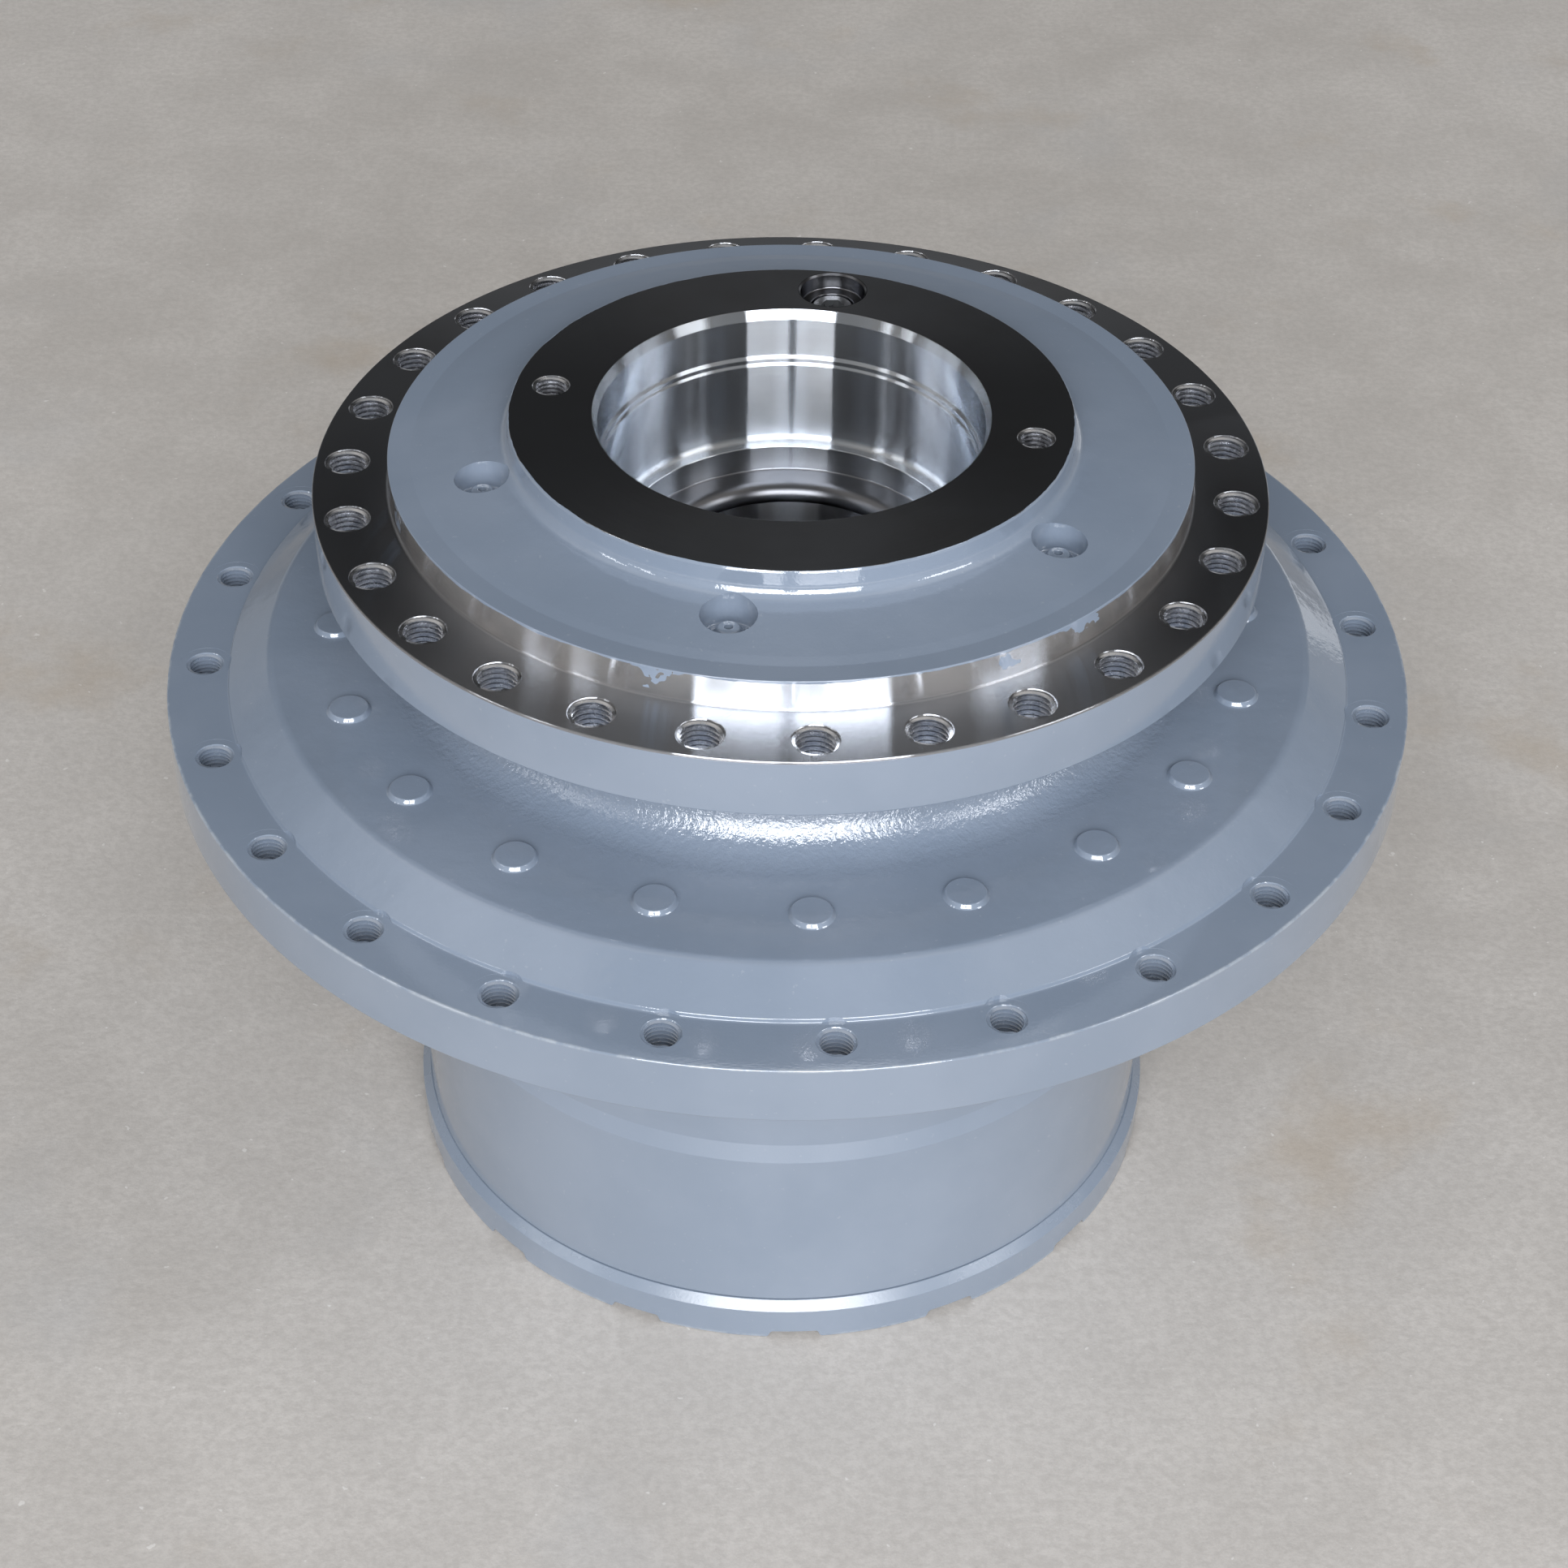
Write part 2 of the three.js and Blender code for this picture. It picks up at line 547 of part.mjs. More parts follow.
const finalStage = group(
  "final_stage",
  mesh("final_sun_gear", finalSun(), gearSteel),
  ...threeOf((i) => mesh(`final_planet_${i + 1}`, planet(FINAL, i), gearSteel)),
  ...threeOf((i) => mesh(`final_planet_bush_${i + 1}`, bush(FINAL, i), bronze)),
);

export default group("planetary_final_drive", hub, drum, cages, firstStage, finalStage);
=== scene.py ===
"""Looks of the planetary final drive: fine turned meshes, real threads, paint and bare steel, floor, light, camera."""

import math

import bmesh
import bpy
from mathutils import Matrix, Vector

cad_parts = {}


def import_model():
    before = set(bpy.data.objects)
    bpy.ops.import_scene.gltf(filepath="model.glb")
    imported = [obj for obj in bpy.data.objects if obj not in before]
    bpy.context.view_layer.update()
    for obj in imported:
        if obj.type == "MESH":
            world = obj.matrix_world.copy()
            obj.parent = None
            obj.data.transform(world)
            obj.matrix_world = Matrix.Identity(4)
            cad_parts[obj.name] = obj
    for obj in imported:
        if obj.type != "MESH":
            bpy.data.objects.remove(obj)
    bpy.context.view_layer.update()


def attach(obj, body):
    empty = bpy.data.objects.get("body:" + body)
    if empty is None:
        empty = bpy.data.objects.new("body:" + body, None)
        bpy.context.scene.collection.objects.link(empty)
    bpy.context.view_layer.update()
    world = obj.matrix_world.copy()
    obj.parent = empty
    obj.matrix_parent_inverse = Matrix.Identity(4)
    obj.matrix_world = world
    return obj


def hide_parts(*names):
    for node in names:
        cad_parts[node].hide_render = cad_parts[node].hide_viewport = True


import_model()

MM = 0.001
SEGMENTS = 288  # around a large turned piece
SMALL_SEGMENTS = 28  # around a bolt hole
ARC_STEPS = 4  # points on a rounded corner
SHARP_ANGLE = math.radians(25)
SLIVER = 0.000002

# ---------- dimensions shared by several pieces, in millimetres and degrees ----------

HUB_R = 260.0
HUB_FACE = 451.5
HUB_UNDER = 418.1
STEP_R = 218.4
STEP_Z = 469.0
BOSS_Z = 489.0
BOSS_R = 152.6
BORE_R = 107.7
NECK_TOP = 404.0
PLATEAU_Z = 350.7
FLANGE_Z = 332.4
FLANGE_UNDER = 298.4
DRUM_R = 350.0
BARREL_R = 220.4
COVER_R = 225.8
COVER_TOP = 26.5

FRAME_HOLES = dict(count=27, start=3.3, pcr=242.5)
SPROCKET_HOLES = dict(count=24, start=4.6, pcr=329.6)
PADS = dict(count=20, start=3.1, pcr=255.4)
NOTCHES = dict(count=15, start=2.4, pcr=208.7)
PORTS = dict(azimuths=(-74.4, -10.2, 55.0), pcr=170.5)
JACKS = dict(azimuths=(-99.2, 79.2), pcr=133.0)
PLUG_PORT = dict(azimuths=(170.2,), pcr=131.6)

GEAR_MODULE = 6.0
RING_TEETH = 63


# ---------- meshes ----------

def polar(pcr, azimuth):
    """A place on a circle in metres: azimuth 0 is -Y and grows towards +X."""
    a = math.radians(azimuth - 90)
    return Vector((pcr * MM * math.cos(a), pcr * MM * math.sin(a), 0))


def azimuths_of(places):
    if "azimuths" in places:
        return places["azimuths"]
    step = 360 / places["count"]
    return [places["start"] + step * i for i in range(places["count"])]


def rounded(corners, closed=True):
    """Replaces each (r, z, radius) corner of a profile by an arc of that radius."""
    out = []
    n = len(corners)
    for i, corner in enumerate(corners):
        here = Vector(corner[:2])
        radius = corner[2] if len(corner) > 2 else 0
        if not radius or (not closed and i in (0, n - 1)):
            out.append(tuple(here))
            continue
        to_last = (Vector(corners[i - 1][:2]) - here)
        to_next = (Vector(corners[(i + 1) % n][:2]) - here)
        half = to_last.angle(to_next) / 2
        reach = min(radius / math.tan(half), to_last.length * 0.49, to_next.length * 0.49)
        bow = reach * math.tan(half)
        centre = here + (to_last.normalized() + to_next.normalized()).normalized() * (bow / math.sin(half))
        start = here + to_last.normalized() * reach - centre
        sweep = start.angle_signed(here + to_next.normalized() * reach - centre)
        steps = max(ARC_STEPS, int(abs(math.degrees(sweep)) * bow / 150))
        for k in range(steps + 1):
            a = -sweep * k / steps
            spun = Vector((start.x * math.cos(a) - start.y * math.sin(a),
                           start.x * math.sin(a) + start.y * math.cos(a)))
            out.append(tuple(centre + spun))
    return out


def lathe(bm, profile, segments, at=Vector((0, 0, 0))):
    """Adds a profile of (r, z) in millimetres, closed on itself or with both ends on the axis, turned about Z."""
    rings = []
    for r, z in profile:
        if r < 1e-6:
            rings.append([bm.verts.new(at + Vector((0, 0, z * MM)))])
            continue
        ring = []
        for i in range(segments):
            a = 2 * math.pi * i / segments
            ring.append(bm.verts.new(at + Vector((r * MM * math.cos(a), r * MM * math.sin(a), z * MM))))
        rings.append(ring)
    pairs = list(zip(rings, rings[1:]))
    if len(rings[0]) > 1 and len(rings[-1]) > 1:
        pairs.append((rings[-1], rings[0]))
    for low, high in pairs:
        for i in range(segments):
            j = (i + 1) % segments
            face = [low[i % len(low)], low[j % len(low)], high[j % len(high)], high[i % len(high)]]
            unique = list(dict.fromkeys(face))
            if len(unique) > 2:
                bm.faces.new(unique)


def to_object(bm, name, smooth=True):
    """Makes an object of a bmesh, its faces turned outwards."""
    bmesh.ops.recalc_face_normals(bm, faces=bm.faces)
    mesh = bpy.data.meshes.new(name)
    bm.to_mesh(mesh)
    bm.free()
    obj = bpy.data.objects.new(name, mesh)
    bpy.context.scene.collection.objects.link(obj)
    if smooth:
        shade(obj)
    return obj


def shade(obj):
    """Smooth shading with sharp edges where faces meet at an angle."""
    mesh = obj.data
    mesh.polygons.foreach_set("use_smooth", [True] * len(mesh.polygons))
    mesh.set_sharp_from_angle(angle=SHARP_ANGLE)
    mesh.update()


def turned(name, corners, segments=SEGMENTS, at=Vector((0, 0, 0))):
    """A turned piece: (r, z, corner radius) corners, closed on itself or with both ends on the axis."""
    bm = bmesh.new()
    on_axis = corners[0][0] == 0 and corners[-1][0] == 0
    lathe(bm, rounded(corners, closed=not on_axis), segments, at)
    return to_object(bm, name, smooth=False)


def prism(bm, outline, z0, z1):
    """Adds a straight prism of an outline in metres between two heights in millimetres."""
    low = [bm.verts.new((p.x, p.y, z0 * MM)) for p in outline]
    high = [bm.verts.new((p.x, p.y, z1 * MM)) for p in outline]
    bm.faces.new(low)
    bm.faces.new(high)
    for i in range(len(outline)):
        j = (i + 1) % len(outline)
        bm.faces.new((low[i], low[j], high[j], high[i]))


def hexagon(across_corners, at=Vector((0, 0, 0)), turn=0.0):
    r = across_corners / 2 * MM
    spots = [turn + math.pi / 3 * i for i in range(6)]
    return [at + Vector((r * math.cos(a), r * math.sin(a), 0)) for a in spots]


def threaded_hole(bm, at, z_open, z_end, major, pitch, open_r, turns, through=True):
    """Adds the space of a threaded hole: a helical thread under a countersunk mouth at z_open, then a plain bore."""
    rows = 4
    minor = major - 0.60 * pitch
    lip = open_r - major  # the countersink is cut at 45 degrees
    pattern = (minor, minor, major, major)  # crest, crest, root, root of one pitch
    count = SMALL_SEGMENTS
    z_thread = z_open - turns * pitch
    levels = int(turns + 2) * rows
    made = {}

    def vert(i, z, r):
        i %= count
        key = (i, round(z, 4), round(r, 4))
        if key not in made:
            a = 2 * math.pi * i / count
            made[key] = bm.verts.new(at + Vector((r * MM * math.cos(a), r * MM * math.sin(a), z * MM)))
        return made[key]

    def corner(i, j):
        shares = (0.0, 0.22, 0.5, 0.72)
        z = z_thread + pitch * (j // rows + shares[j % rows] + i / count)
        if z <= z_thread:
            return vert(i, z_thread, minor)
        if z >= z_open - lip:
            return vert(i, z_open - lip, major)
        return vert(i, z, pattern[j % rows])

    def skin(a, b, c, d):
        unique = list(dict.fromkeys((a, b, c, d)))
        if len(unique) > 2:
            bm.faces.new(unique)

    for i in range(count):
        for j in range(-rows, levels):
            skin(corner(i, j), corner(i + 1, j), corner(i + 1, j + 1), corner(i, j + 1))
    mouth = [(major, z_open - lip), (open_r, z_open), (open_r, z_open + 2)]
    for (r0, h0), (r1, h1) in zip(mouth, mouth[1:]):
        for i in range(count):
            skin(vert(i, h0, r0), vert(i + 1, h0, r0), vert(i + 1, h1, r1), vert(i, h1, r1))
    for i in range(count):
        skin(vert(i, z_end, minor), vert(i + 1, z_end, minor), vert(i + 1, z_thread, minor), vert(i, z_thread, minor))
    bm.faces.new([vert(i, z_open + 2, open_r) for i in range(count)])
    if through:
        bm.faces.new([vert(i, z_end, minor) for i in range(count)])
        return
    tip = bm.verts.new(at + Vector((0, 0, (z_end - minor * 0.5) * MM)))
    for i in range(count):
        bm.faces.new((vert(i, z_end, minor), vert(i + 1, z_end, minor), tip))


def combine(obj, bm, operation="DIFFERENCE"):
    """Cuts or joins the closed bodies of a bmesh with an object, for good."""
    tool = to_object(bm, obj.name + "_tool", smooth=False)
    modifier = obj.modifiers.new("combine", "BOOLEAN")
    modifier.operation = operation
    modifier.object = tool
    modifier.solver = "MANIFOLD"
    evaluated = obj.evaluated_get(bpy.context.evaluated_depsgraph_get())
    result = bpy.data.meshes.new_from_object(evaluated)
    obj.modifiers.clear()
    obj.data = result
    bpy.data.objects.remove(tool)
    return obj


def clean(obj):
    """Merges points that all but touch, and drops the slivers that cutting leaves."""
    bm = bmesh.new()
    bm.from_mesh(obj.data)
    bmesh.ops.remove_doubles(bm, verts=bm.verts, dist=SLIVER)
    bmesh.ops.dissolve_degenerate(bm, edges=bm.edges, dist=SLIVER)
    bm.to_mesh(obj.data)
    bm.free()


def finish_piece(obj, body, slot, node, *materials):
    """Rides the piece on its body, in place of its CAD node, with normals that keep its flat faces flat."""
    clean(obj)
    shade(obj)
    flats = obj.modifiers.new("flat_faces", "WEIGHTED_NORMAL")
    flats.mode = "FACE_AREA"
    flats.keep_sharp = True
    obj.data.materials.clear()
    for m in materials:
        obj.data.materials.append(m)
    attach(obj, body)
    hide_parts(node)
    return obj


# ---------- hub ----------

def hub_profile():
    return [
        (BORE_R, BOSS_Z, 0.3),
        (BOSS_R, BOSS_Z, 0.5),
        (153.2, 487.6, 0.8),
        (153.6, 474.6, 12.0),
        (199.0, 469.9, 8.0),
        (206.0, STEP_Z, 6.0),
        (STEP_R, STEP_Z, 0.5),
        (STEP_R + 0.5, HUB_FACE, 1.8),
        (HUB_R, HUB_FACE, 0.8),
        (HUB_R, HUB_UNDER, 1.0),
        (200.0, HUB_UNDER, 1.0),
        (198.5, NECK_TOP + 3.2, 0.6),
        (188.0, NECK_TOP + 3.2, 0.6),
        (188.0, 414.0, 1.0),
        (158.0, 414.0, 2.0),
        (158.0, 379.0, 0.8),
        (140.3, 379.0, 1.0),
        (140.3, 229.6, 0.4),
        (138.0, 228.1, 0.4),
        (138.0, 200.0, 1.5),
        (104.5, 200.0, 1.0),
        (104.5, 233.0, 0.6),
        (98.0, 233.0, 1.0),
        (98.0, 340.0, 6.0),
        (74.4, 358.0, 2.0),
        (74.4, 389.8, 9.0),
        (94.0, 390.3, 1.2),
        (94.0, 406.1, 0.7),
        (102.2, 406.1, 6.4),
        (102.2, 455.4, 1.0),
        (103.4, 456.6, 0.6),
        (103.4, 459.0, 0.4),
        (105.0, 460.6, 0.5),
        (105.0, 483.4, 0.8),
    ]


def hub():
    obj = turned("hub_casting", hub_profile())
    bm = bmesh.new()
    for azimuth in azimuths_of(FRAME_HOLES):
        threaded_hole(bm, polar(FRAME_HOLES["pcr"], azimuth), HUB_FACE, HUB_UNDER - 2, 12.0, 3.0, 12.5, 10)
    for azimuth in azimuths_of(JACKS):
        threaded_hole(bm, polar(JACKS["pcr"], azimuth), BOSS_Z, 462, 9.9, 2.5, 10.4, 8, through=False)
    combine(obj, bm)
    bm = bmesh.new()
    for azimuth in azimuths_of(PORTS):
        port = [(0, 454.0), (2.2, 456.0), (2.2, 465.4, 0.6), (5.6, 465.0, 1.8), (10.4, 457.4, 1.8), (14.6, 457.4, 1.2),
                (14.8, 476.0), (14.8, 495.0), (0, 495.0)]
        lathe(bm, rounded(port, closed=False), 48, polar(PORTS["pcr"], azimuth))
    for azimuth in azimuths_of(PLUG_PORT):
        port = [(0, 460.2), (12.4, 460.2), (12.4, 479.4, 0.6), (17.6, 480.2, 1.0), (18.4, 488.0), (19.4, 489.01),
                (19.4, 495.0), (0, 495.0)]
        lathe(bm, rounded(port, closed=False), 56, polar(PLUG_PORT["pcr"], azimuth))
    combine(obj, bm)
    bm = bmesh.new()
    slot = [Vector((x * MM, y * MM, 0)) for x, y in ((130.7, -7.3), (139.5, -7.3), (139.5, 7.3), (130.7, 7.3))]
    prism(bm, slot, 198, 229)
    combine(obj, bm)
    return finish_piece(obj, "hub", "hub_paint_and_machined_steel", "hub_spindle", hub_material())


# ---------- drum ----------

def drum_profile():
    return [
        (199.0, NECK_TOP, 1.5),
        (199.0, PLATEAU_Z, 35.0),
        (291.5, PLATEAU_Z, 9.0),
        (315.4, 334.4, 1.1),
        (316.2, FLANGE_Z, 0.8),
        (DRUM_R, FLANGE_Z, 1.2),
        (DRUM_R, FLANGE_UNDER, 1.2),
        (277.0, FLANGE_UNDER, 0.8),
        (277.0, 311.95, 0.8),
        (198.5, 311.95, 1.0),
        (198.5, 228.6, 1.5),
        (182.35, 228.6, 0.8),
        (182.35, 275.95, 0.4),
        (171.0, 275.95, 1.0),
        (171.0, 332.05, 1.0),
        (182.35, 332.05, 0.4),
        (182.35, 380.0, 0.6),
        (186.5, 381.0, 0.6),
        (186.5, NECK_TOP, 0.8),
    ]


def drum():
    obj = turned("drum_casting", drum_profile())
    bm = bmesh.new()
    for azimuth in azimuths_of(PADS):
        pad = [(0, 346.0), (12.4, 346.0), (12.4, PLATEAU_Z - 0.15, 0.0), (11.7, PLATEAU_Z + 0.55, 0.7),
               (10.5, PLATEAU_Z + 2.5, 0.9), (0, PLATEAU_Z + 2.65)]
        lathe(bm, rounded(pad, closed=False), 40, polar(PADS["pcr"], azimuth))
    combine(obj, bm, "UNION")
    bm = bmesh.new()
    for azimuth in azimuths_of(SPROCKET_HOLES):
        threaded_hole(bm, polar(SPROCKET_HOLES["pcr"], azimuth), FLANGE_Z - 0.06, FLANGE_UNDER - 2, 10.1, 2.5, 10.6, 12)
    combine(obj, bm)
    bm = bmesh.new()
    for azimuth in azimuths_of(SPROCKET_HOLES):
        face = [(0, FLANGE_Z - 0.06), (14.9, FLANGE_Z - 0.06), (14.9, 340.0), (0, 340.0)]
        lathe(bm, face, 48, polar(SPROCKET_HOLES["pcr"], azimuth))
    for azimuth in azimuths_of(PADS):
        blind = [(0, 305.0), (8.6, 305.0), (8.6, 342.0), (0, 345.0)]
        lathe(bm, blind, 24, polar(PADS["pcr"], azimuth))
    combine(obj, bm)
    return finish_piece(obj, "drum", "drum_paint", "drum_housing", drum_material())


# ---------- gears ----------

def involute(angle):
    return math.tan(angle) - angle


def gear_outline(teeth, tip, root, grow, steps=5):
    """The corners of an involute gear in metres, with its first tooth on +X."""
    pressure = math.radians(20)
    pitch_r = teeth * GEAR_MODULE / 2
    base_r = pitch_r * math.cos(pressure)
    flank = [root + (tip - root) * k / steps for k in range(steps + 1)]

    def half_angle(r):
        here = math.acos(min(1.0, base_r / max(r, base_r)))
        return math.pi / (2 * teeth) + grow / pitch_r + involute(pressure) - involute(here)

    outline = []
    for i in range(teeth):
        centre = 2 * math.pi * i / teeth
        for side, radii in ((-1, flank), (1, flank[::-1])):
            for r in radii:
                a = centre + side * half_angle(r)
                outline.append(Vector(((r + grow) * MM * math.cos(a), (r + grow) * MM * math.sin(a), 0)))
    return outline


def external_gear(name, teeth, z0, z1, bore, grow=-0.2, recess=0.0):
    """A spur gear with chamfered tooth ends, a bore, and a shallow turned recess in each face."""
    pitch_r = teeth * GEAR_MODULE / 2
    tip = pitch_r + 0.8 * GEAR_MODULE
    root = pitch_r - 1.05 * GEAR_MODULE
    corners = [(0, z0), (tip - 3.5, z0, 0.4), (tip + 0.5, z0 + 4.0, 0.4), (tip + 0.5, z1 - 4.0, 0.4),
               (tip - 3.5, z1, 0.4), (0, z1)]
    obj = turned(name, corners, 144)
    bm = bmesh.new()
    prism(bm, gear_outline(teeth, tip, root, grow), z0 - 1, z1 + 1)
    combine(obj, bm, "INTERSECT")
    bm = bmesh.new()
    if bore:
        hole = [(0, z0 - 1), (bore + 2.0, z0 - 1), (bore + 1.0, z0), (bore, z0 + 1.0), (bore, z1 - 1.0),
                (bore + 1.0, z1), (bore + 2.0, z1 + 1), (0, z1 + 1)]
        lathe(bm, hole, 72)
    if recess:
        inner, outer = bore + 9.0, root - 7.0
        for face, way in ((z0, 1), (z1, -1)):
            ring = [(inner, face - way), (outer, face - way), (outer - 2.0, face + way * recess, 1.5),
                    (inner + 2.0, face + way * recess, 1.5)]
            lathe(bm, rounded(ring), 96)
    if bore or recess:
        combine(obj, bm)
    return obj


# ---------- ring gear ----------

def ring_gear():
    corners = [
        (BARREL_R, 26.9, 0.5),
        (BARREL_R, 137.3, 2.0),
        (216.5, 147.5, 2.0),
        (216.5, 284.0, 6.0),
        (276.0, 284.0, 1.0),
        (276.0, 311.6, 1.0),
        (199.2, 311.6, 1.0),
        (199.2, 192.0, 1.5),
        (180.0, 192.0),
        (180.0, 34.5),
        (197.6, 34.5, 1.0),
        (197.6, 26.9, 0.5),
    ]
    obj = turned("ring_gear_body", corners)
    bm = bmesh.new()
    pitch_r = RING_TEETH * GEAR_MODULE / 2
    outline = gear_outline(RING_TEETH, pitch_r + 6.3, pitch_r - 4.8, 0.2)
    spin = Matrix.Rotation(math.pi / RING_TEETH, 3, "Z")
    prism(bm, [spin @ p for p in outline], 33, 193)
    combine(obj, bm)
    bm = bmesh.new()
    for azimuth in azimuths_of(PADS):
        lathe(bm, [(0, 280.0), (8.6, 280.0), (8.6, 315.0), (0, 315.0)], 24, polar(PADS["pcr"], azimuth))
    for azimuth in azimuths_of(NOTCHES):
        lathe(bm, [(0, 20.0), (6.35, 20.0), (6.35, 52.0), (0, 55.0)], 20, polar(NOTCHES["pcr"], azimuth))
    combine(obj, bm)
    return finish_piece(obj, "drum", "ring_gear_paint", "ring_gear", ring_gear_material())


# ---------- end cover ----------

def notch(bm, azimuth):
    """Adds the space of an open screw pocket in the rim of the cover, with rounded ends at its mouth."""
    outline = rounded([(-24.0, -3.0), (-24.0, 0.0), (-15.6, 0.0, 3.2), (-13.6, 5.0, 2.2), (13.6, 5.0, 2.2),
                       (15.6, 0.0, 3.2), (24.0, 0.0), (24.0, -3.0)])
    spin = Matrix.Rotation(math.radians(azimuth - 90), 3, "Z")
    near, far = ([bm.verts.new(spin @ Vector((r * MM, y * MM, z * MM))) for y, z in outline] for r in (208.7, 232.0))
    bm.faces.new(near)
    bm.faces.new(far)
    for i in range(len(outline)):
        j = (i + 1) % len(outline)
        bm.faces.new((near[i], near[j], far[j], far[i]))


def end_cover():
    corners = [
        (176.0, 8.0, 1.5),
        (179.0, 0.0, 2.0),
        (COVER_R, 0.0, 0.8),
        (COVER_R, COVER_TOP - 5.1, 0.6),
        (COVER_R - 4.9, COVER_TOP, 0.5),
        (197.0, COVER_TOP, 0.4),
        (197.0, 30.0, 0.3),
        (194.0, 30.0, 0.3),
        (194.0, 33.0, 0.5),
        (187.0, 33.0, 0.8),
        (185.0, 22.0, 2.0),
        (0.0, 22.0),
        (0.0, 8.0),
    ]
    profile = rounded(corners[:-2] + [corners[-2]], closed=False)
    bm = bmesh.new()
    lathe(bm, [(0.0, 8.0)] + profile, SEGMENTS)
    obj = to_object(bm, "end_cover_casting", smooth=False)
    bm = bmesh.new()
    for azimuth in azimuths_of(NOTCHES):
        notch(bm, azimuth)
    combine(obj, bm)
    bm = bmesh.new()
    for azimuth in azimuths_of(NOTCHES):
        seat = [(0, -2), (14.99, -2), (14.99, 5.0), (12.45, 5.02), (12.45, 5.4), (6.35, 11.4), (6.35, 30), (0, 30)]
        lathe(bm, seat, 48, polar(NOTCHES["pcr"], azimuth))
    for azimuth in (0, 180):
        lathe(bm, [(0, 5), (14.35, 5), (14.35, 25), (0, 25)], 40, polar(135, azimuth))
    combine(obj, bm)
    return finish_piece(obj, "drum", "cover_paint", "end_cover", cover_material())


# ---------- fasteners ----------

def hex_socket(bm, at, width, z_open, z_end):
    """Adds the space of a hexagon socket of this width across flats, from z_open to z_end."""
    low, high = sorted((z_open, z_end))
    reach = 1 if z_end < z_open else 0
    prism(bm, hexagon(width / math.cos(math.pi / 6), at), low - 1 + reach, high + reach)


def rod_profile(points):
    """The (r, z) outline of a solid that is turned about its own axis, given its outer corners."""
    return rounded([(0, points[0][1])] + points + [(0, points[-1][1])], closed=False)


def thread_profile(r, depth, pitch, z0, z1):
    """Corners of the ridges of a thread of this radius between two heights."""
    out = []
    for k in range(int((z1 - z0) / pitch)):
        z = z0 + pitch * k
        out += [(r, z), (r - depth, z + pitch * 0.38), (r - depth, z + pitch * 0.5), (r, z + pitch * 0.88)]
    return out


def cover_screws():
    finish = metal("blackened_screw_steel", (0.30, 0.30, 0.31, 1), 0.32)
    for i, azimuth in enumerate(azimuths_of(NOTCHES)):
        at = polar(NOTCHES["pcr"], azimuth)
        head = [(11.6, 5.15, 0.2), (12.0, 5.6, 0.2), (12.0, 6.0, 0.3), (6.0, 11.4, 0.4)]
        foot = [(6.0, 49.0, 0.2), (5.0, 50.0)]
        bm = bmesh.new()
        lathe(bm, rod_profile(head + thread_profile(6.0, 0.75, 2.4, 13.0, 48.5) + foot), 32, at)
        obj = to_object(bm, f"countersunk_screw_{i + 1:02d}", smooth=False)
        bm = bmesh.new()
        hex_socket(bm, at, 8.0, 5.15, 9.6)
        combine(obj, bm)
        finish_piece(obj, "drum", "zinc_plated_steel", f"cover_screw_{i + 1:02d}", finish)


def plug(node, body, at, outline, width, socket, finish):
    bm = bmesh.new()
    lathe(bm, rod_profile(outline), 56, at)
    obj = to_object(bm, node + "_turned", smooth=False)
    bm = bmesh.new()
    hex_socket(bm, at, width, *socket)
    combine(obj, bm)
    finish_piece(obj, body, "zinc_plated_steel", node, finish)


def plugs():
    finish = metal("zinc_plug_steel", (0.55, 0.56, 0.57, 1), 0.30)
    oil_plug = [(16.6, 4.55, 0.5), (18.0, 5.3, 0.5), (18.0, 7.65, 0.3), (13.6, 7.65), (13.6, 8.8, 0.2),
                (14.0, 9.4, 0.2), (14.0, 20.6, 0.2), (12.8, 21.5, 0.2)]
    plug("cover_drain_plug", "drum", polar(135, 0), oil_plug, 14.7, (4.55, 12.5), finish)
    plug("cover_fill_plug", "drum", polar(135, 180), oil_plug, 14.7, (4.55, 12.5), finish)
    port_plug = [(11.2, 462.0, 0.2), (12.0, 462.8, 0.2), (12.0, 477.6, 0.3), (10.9, 479.0, 0.4)]
    at = polar(PLUG_PORT["pcr"], PLUG_PORT["azimuths"][0])
    plug("hub_port_plug", "hub", at, port_plug, 12.0, (479.0, 471.0), finish)


def ring_gear_bolts():
    """Twenty hexagon bolts from below with a washer each, and the lock wire that joins their heads."""
    places = [(polar(PADS["pcr"], azimuth), math.radians(azimuth - 90)) for azimuth in azimuths_of(PADS)]
    heads, sixes, washers, shanks = (bmesh.new() for _ in range(4))
    shank = [(7.9, 279.0), (7.9, 300.0), (7.2, 301.0), (7.2, 311.0), (7.9, 312.0), (7.9, 339.0, 0.2), (6.8, 340.0)]
    for at, turn in places:
        lathe(heads, rod_profile([(11.4, 273.65, 0.2), (14.3, 275.4, 0.3), (14.3, 281.4)]), 48, at)
        prism(sixes, hexagon(27.6, at, turn), 272, 281.35)
        lathe(washers, rod_profile([(15.2, 281.2, 0.3), (15.2, 283.6, 0.3)]), 40, at)
        lathe(shanks, rod_profile(shank), 28, at)
    wire = bmesh.new()
    ring = [math.radians(30 * k) for k in range(12)]
    lathe(wire, [(PADS["pcr"] + 0.8 * math.cos(a), 278.4 + 0.8 * math.sin(a)) for a in ring], SEGMENTS)
    obj = to_object(heads, "ring_gear_bolt_set", smooth=False)
    combine(obj, sixes, "INTERSECT")
    for part in (washers, shanks, wire):
        combine(obj, part, "UNION")
    finish = metal("zinc_bolt_steel", (0.55, 0.54, 0.50, 1), 0.32)
    return finish_piece(obj, "drum", "zinc_plated_steel", "ring_gear_bolts", finish)


# ---------- bearings, seals and nut ----------

BEARING_Z = {"upper": (332.4, 1), "lower": (275.6, -1)}  # the small end, and the way to the large end
BEARING_HEIGHT = 46.0


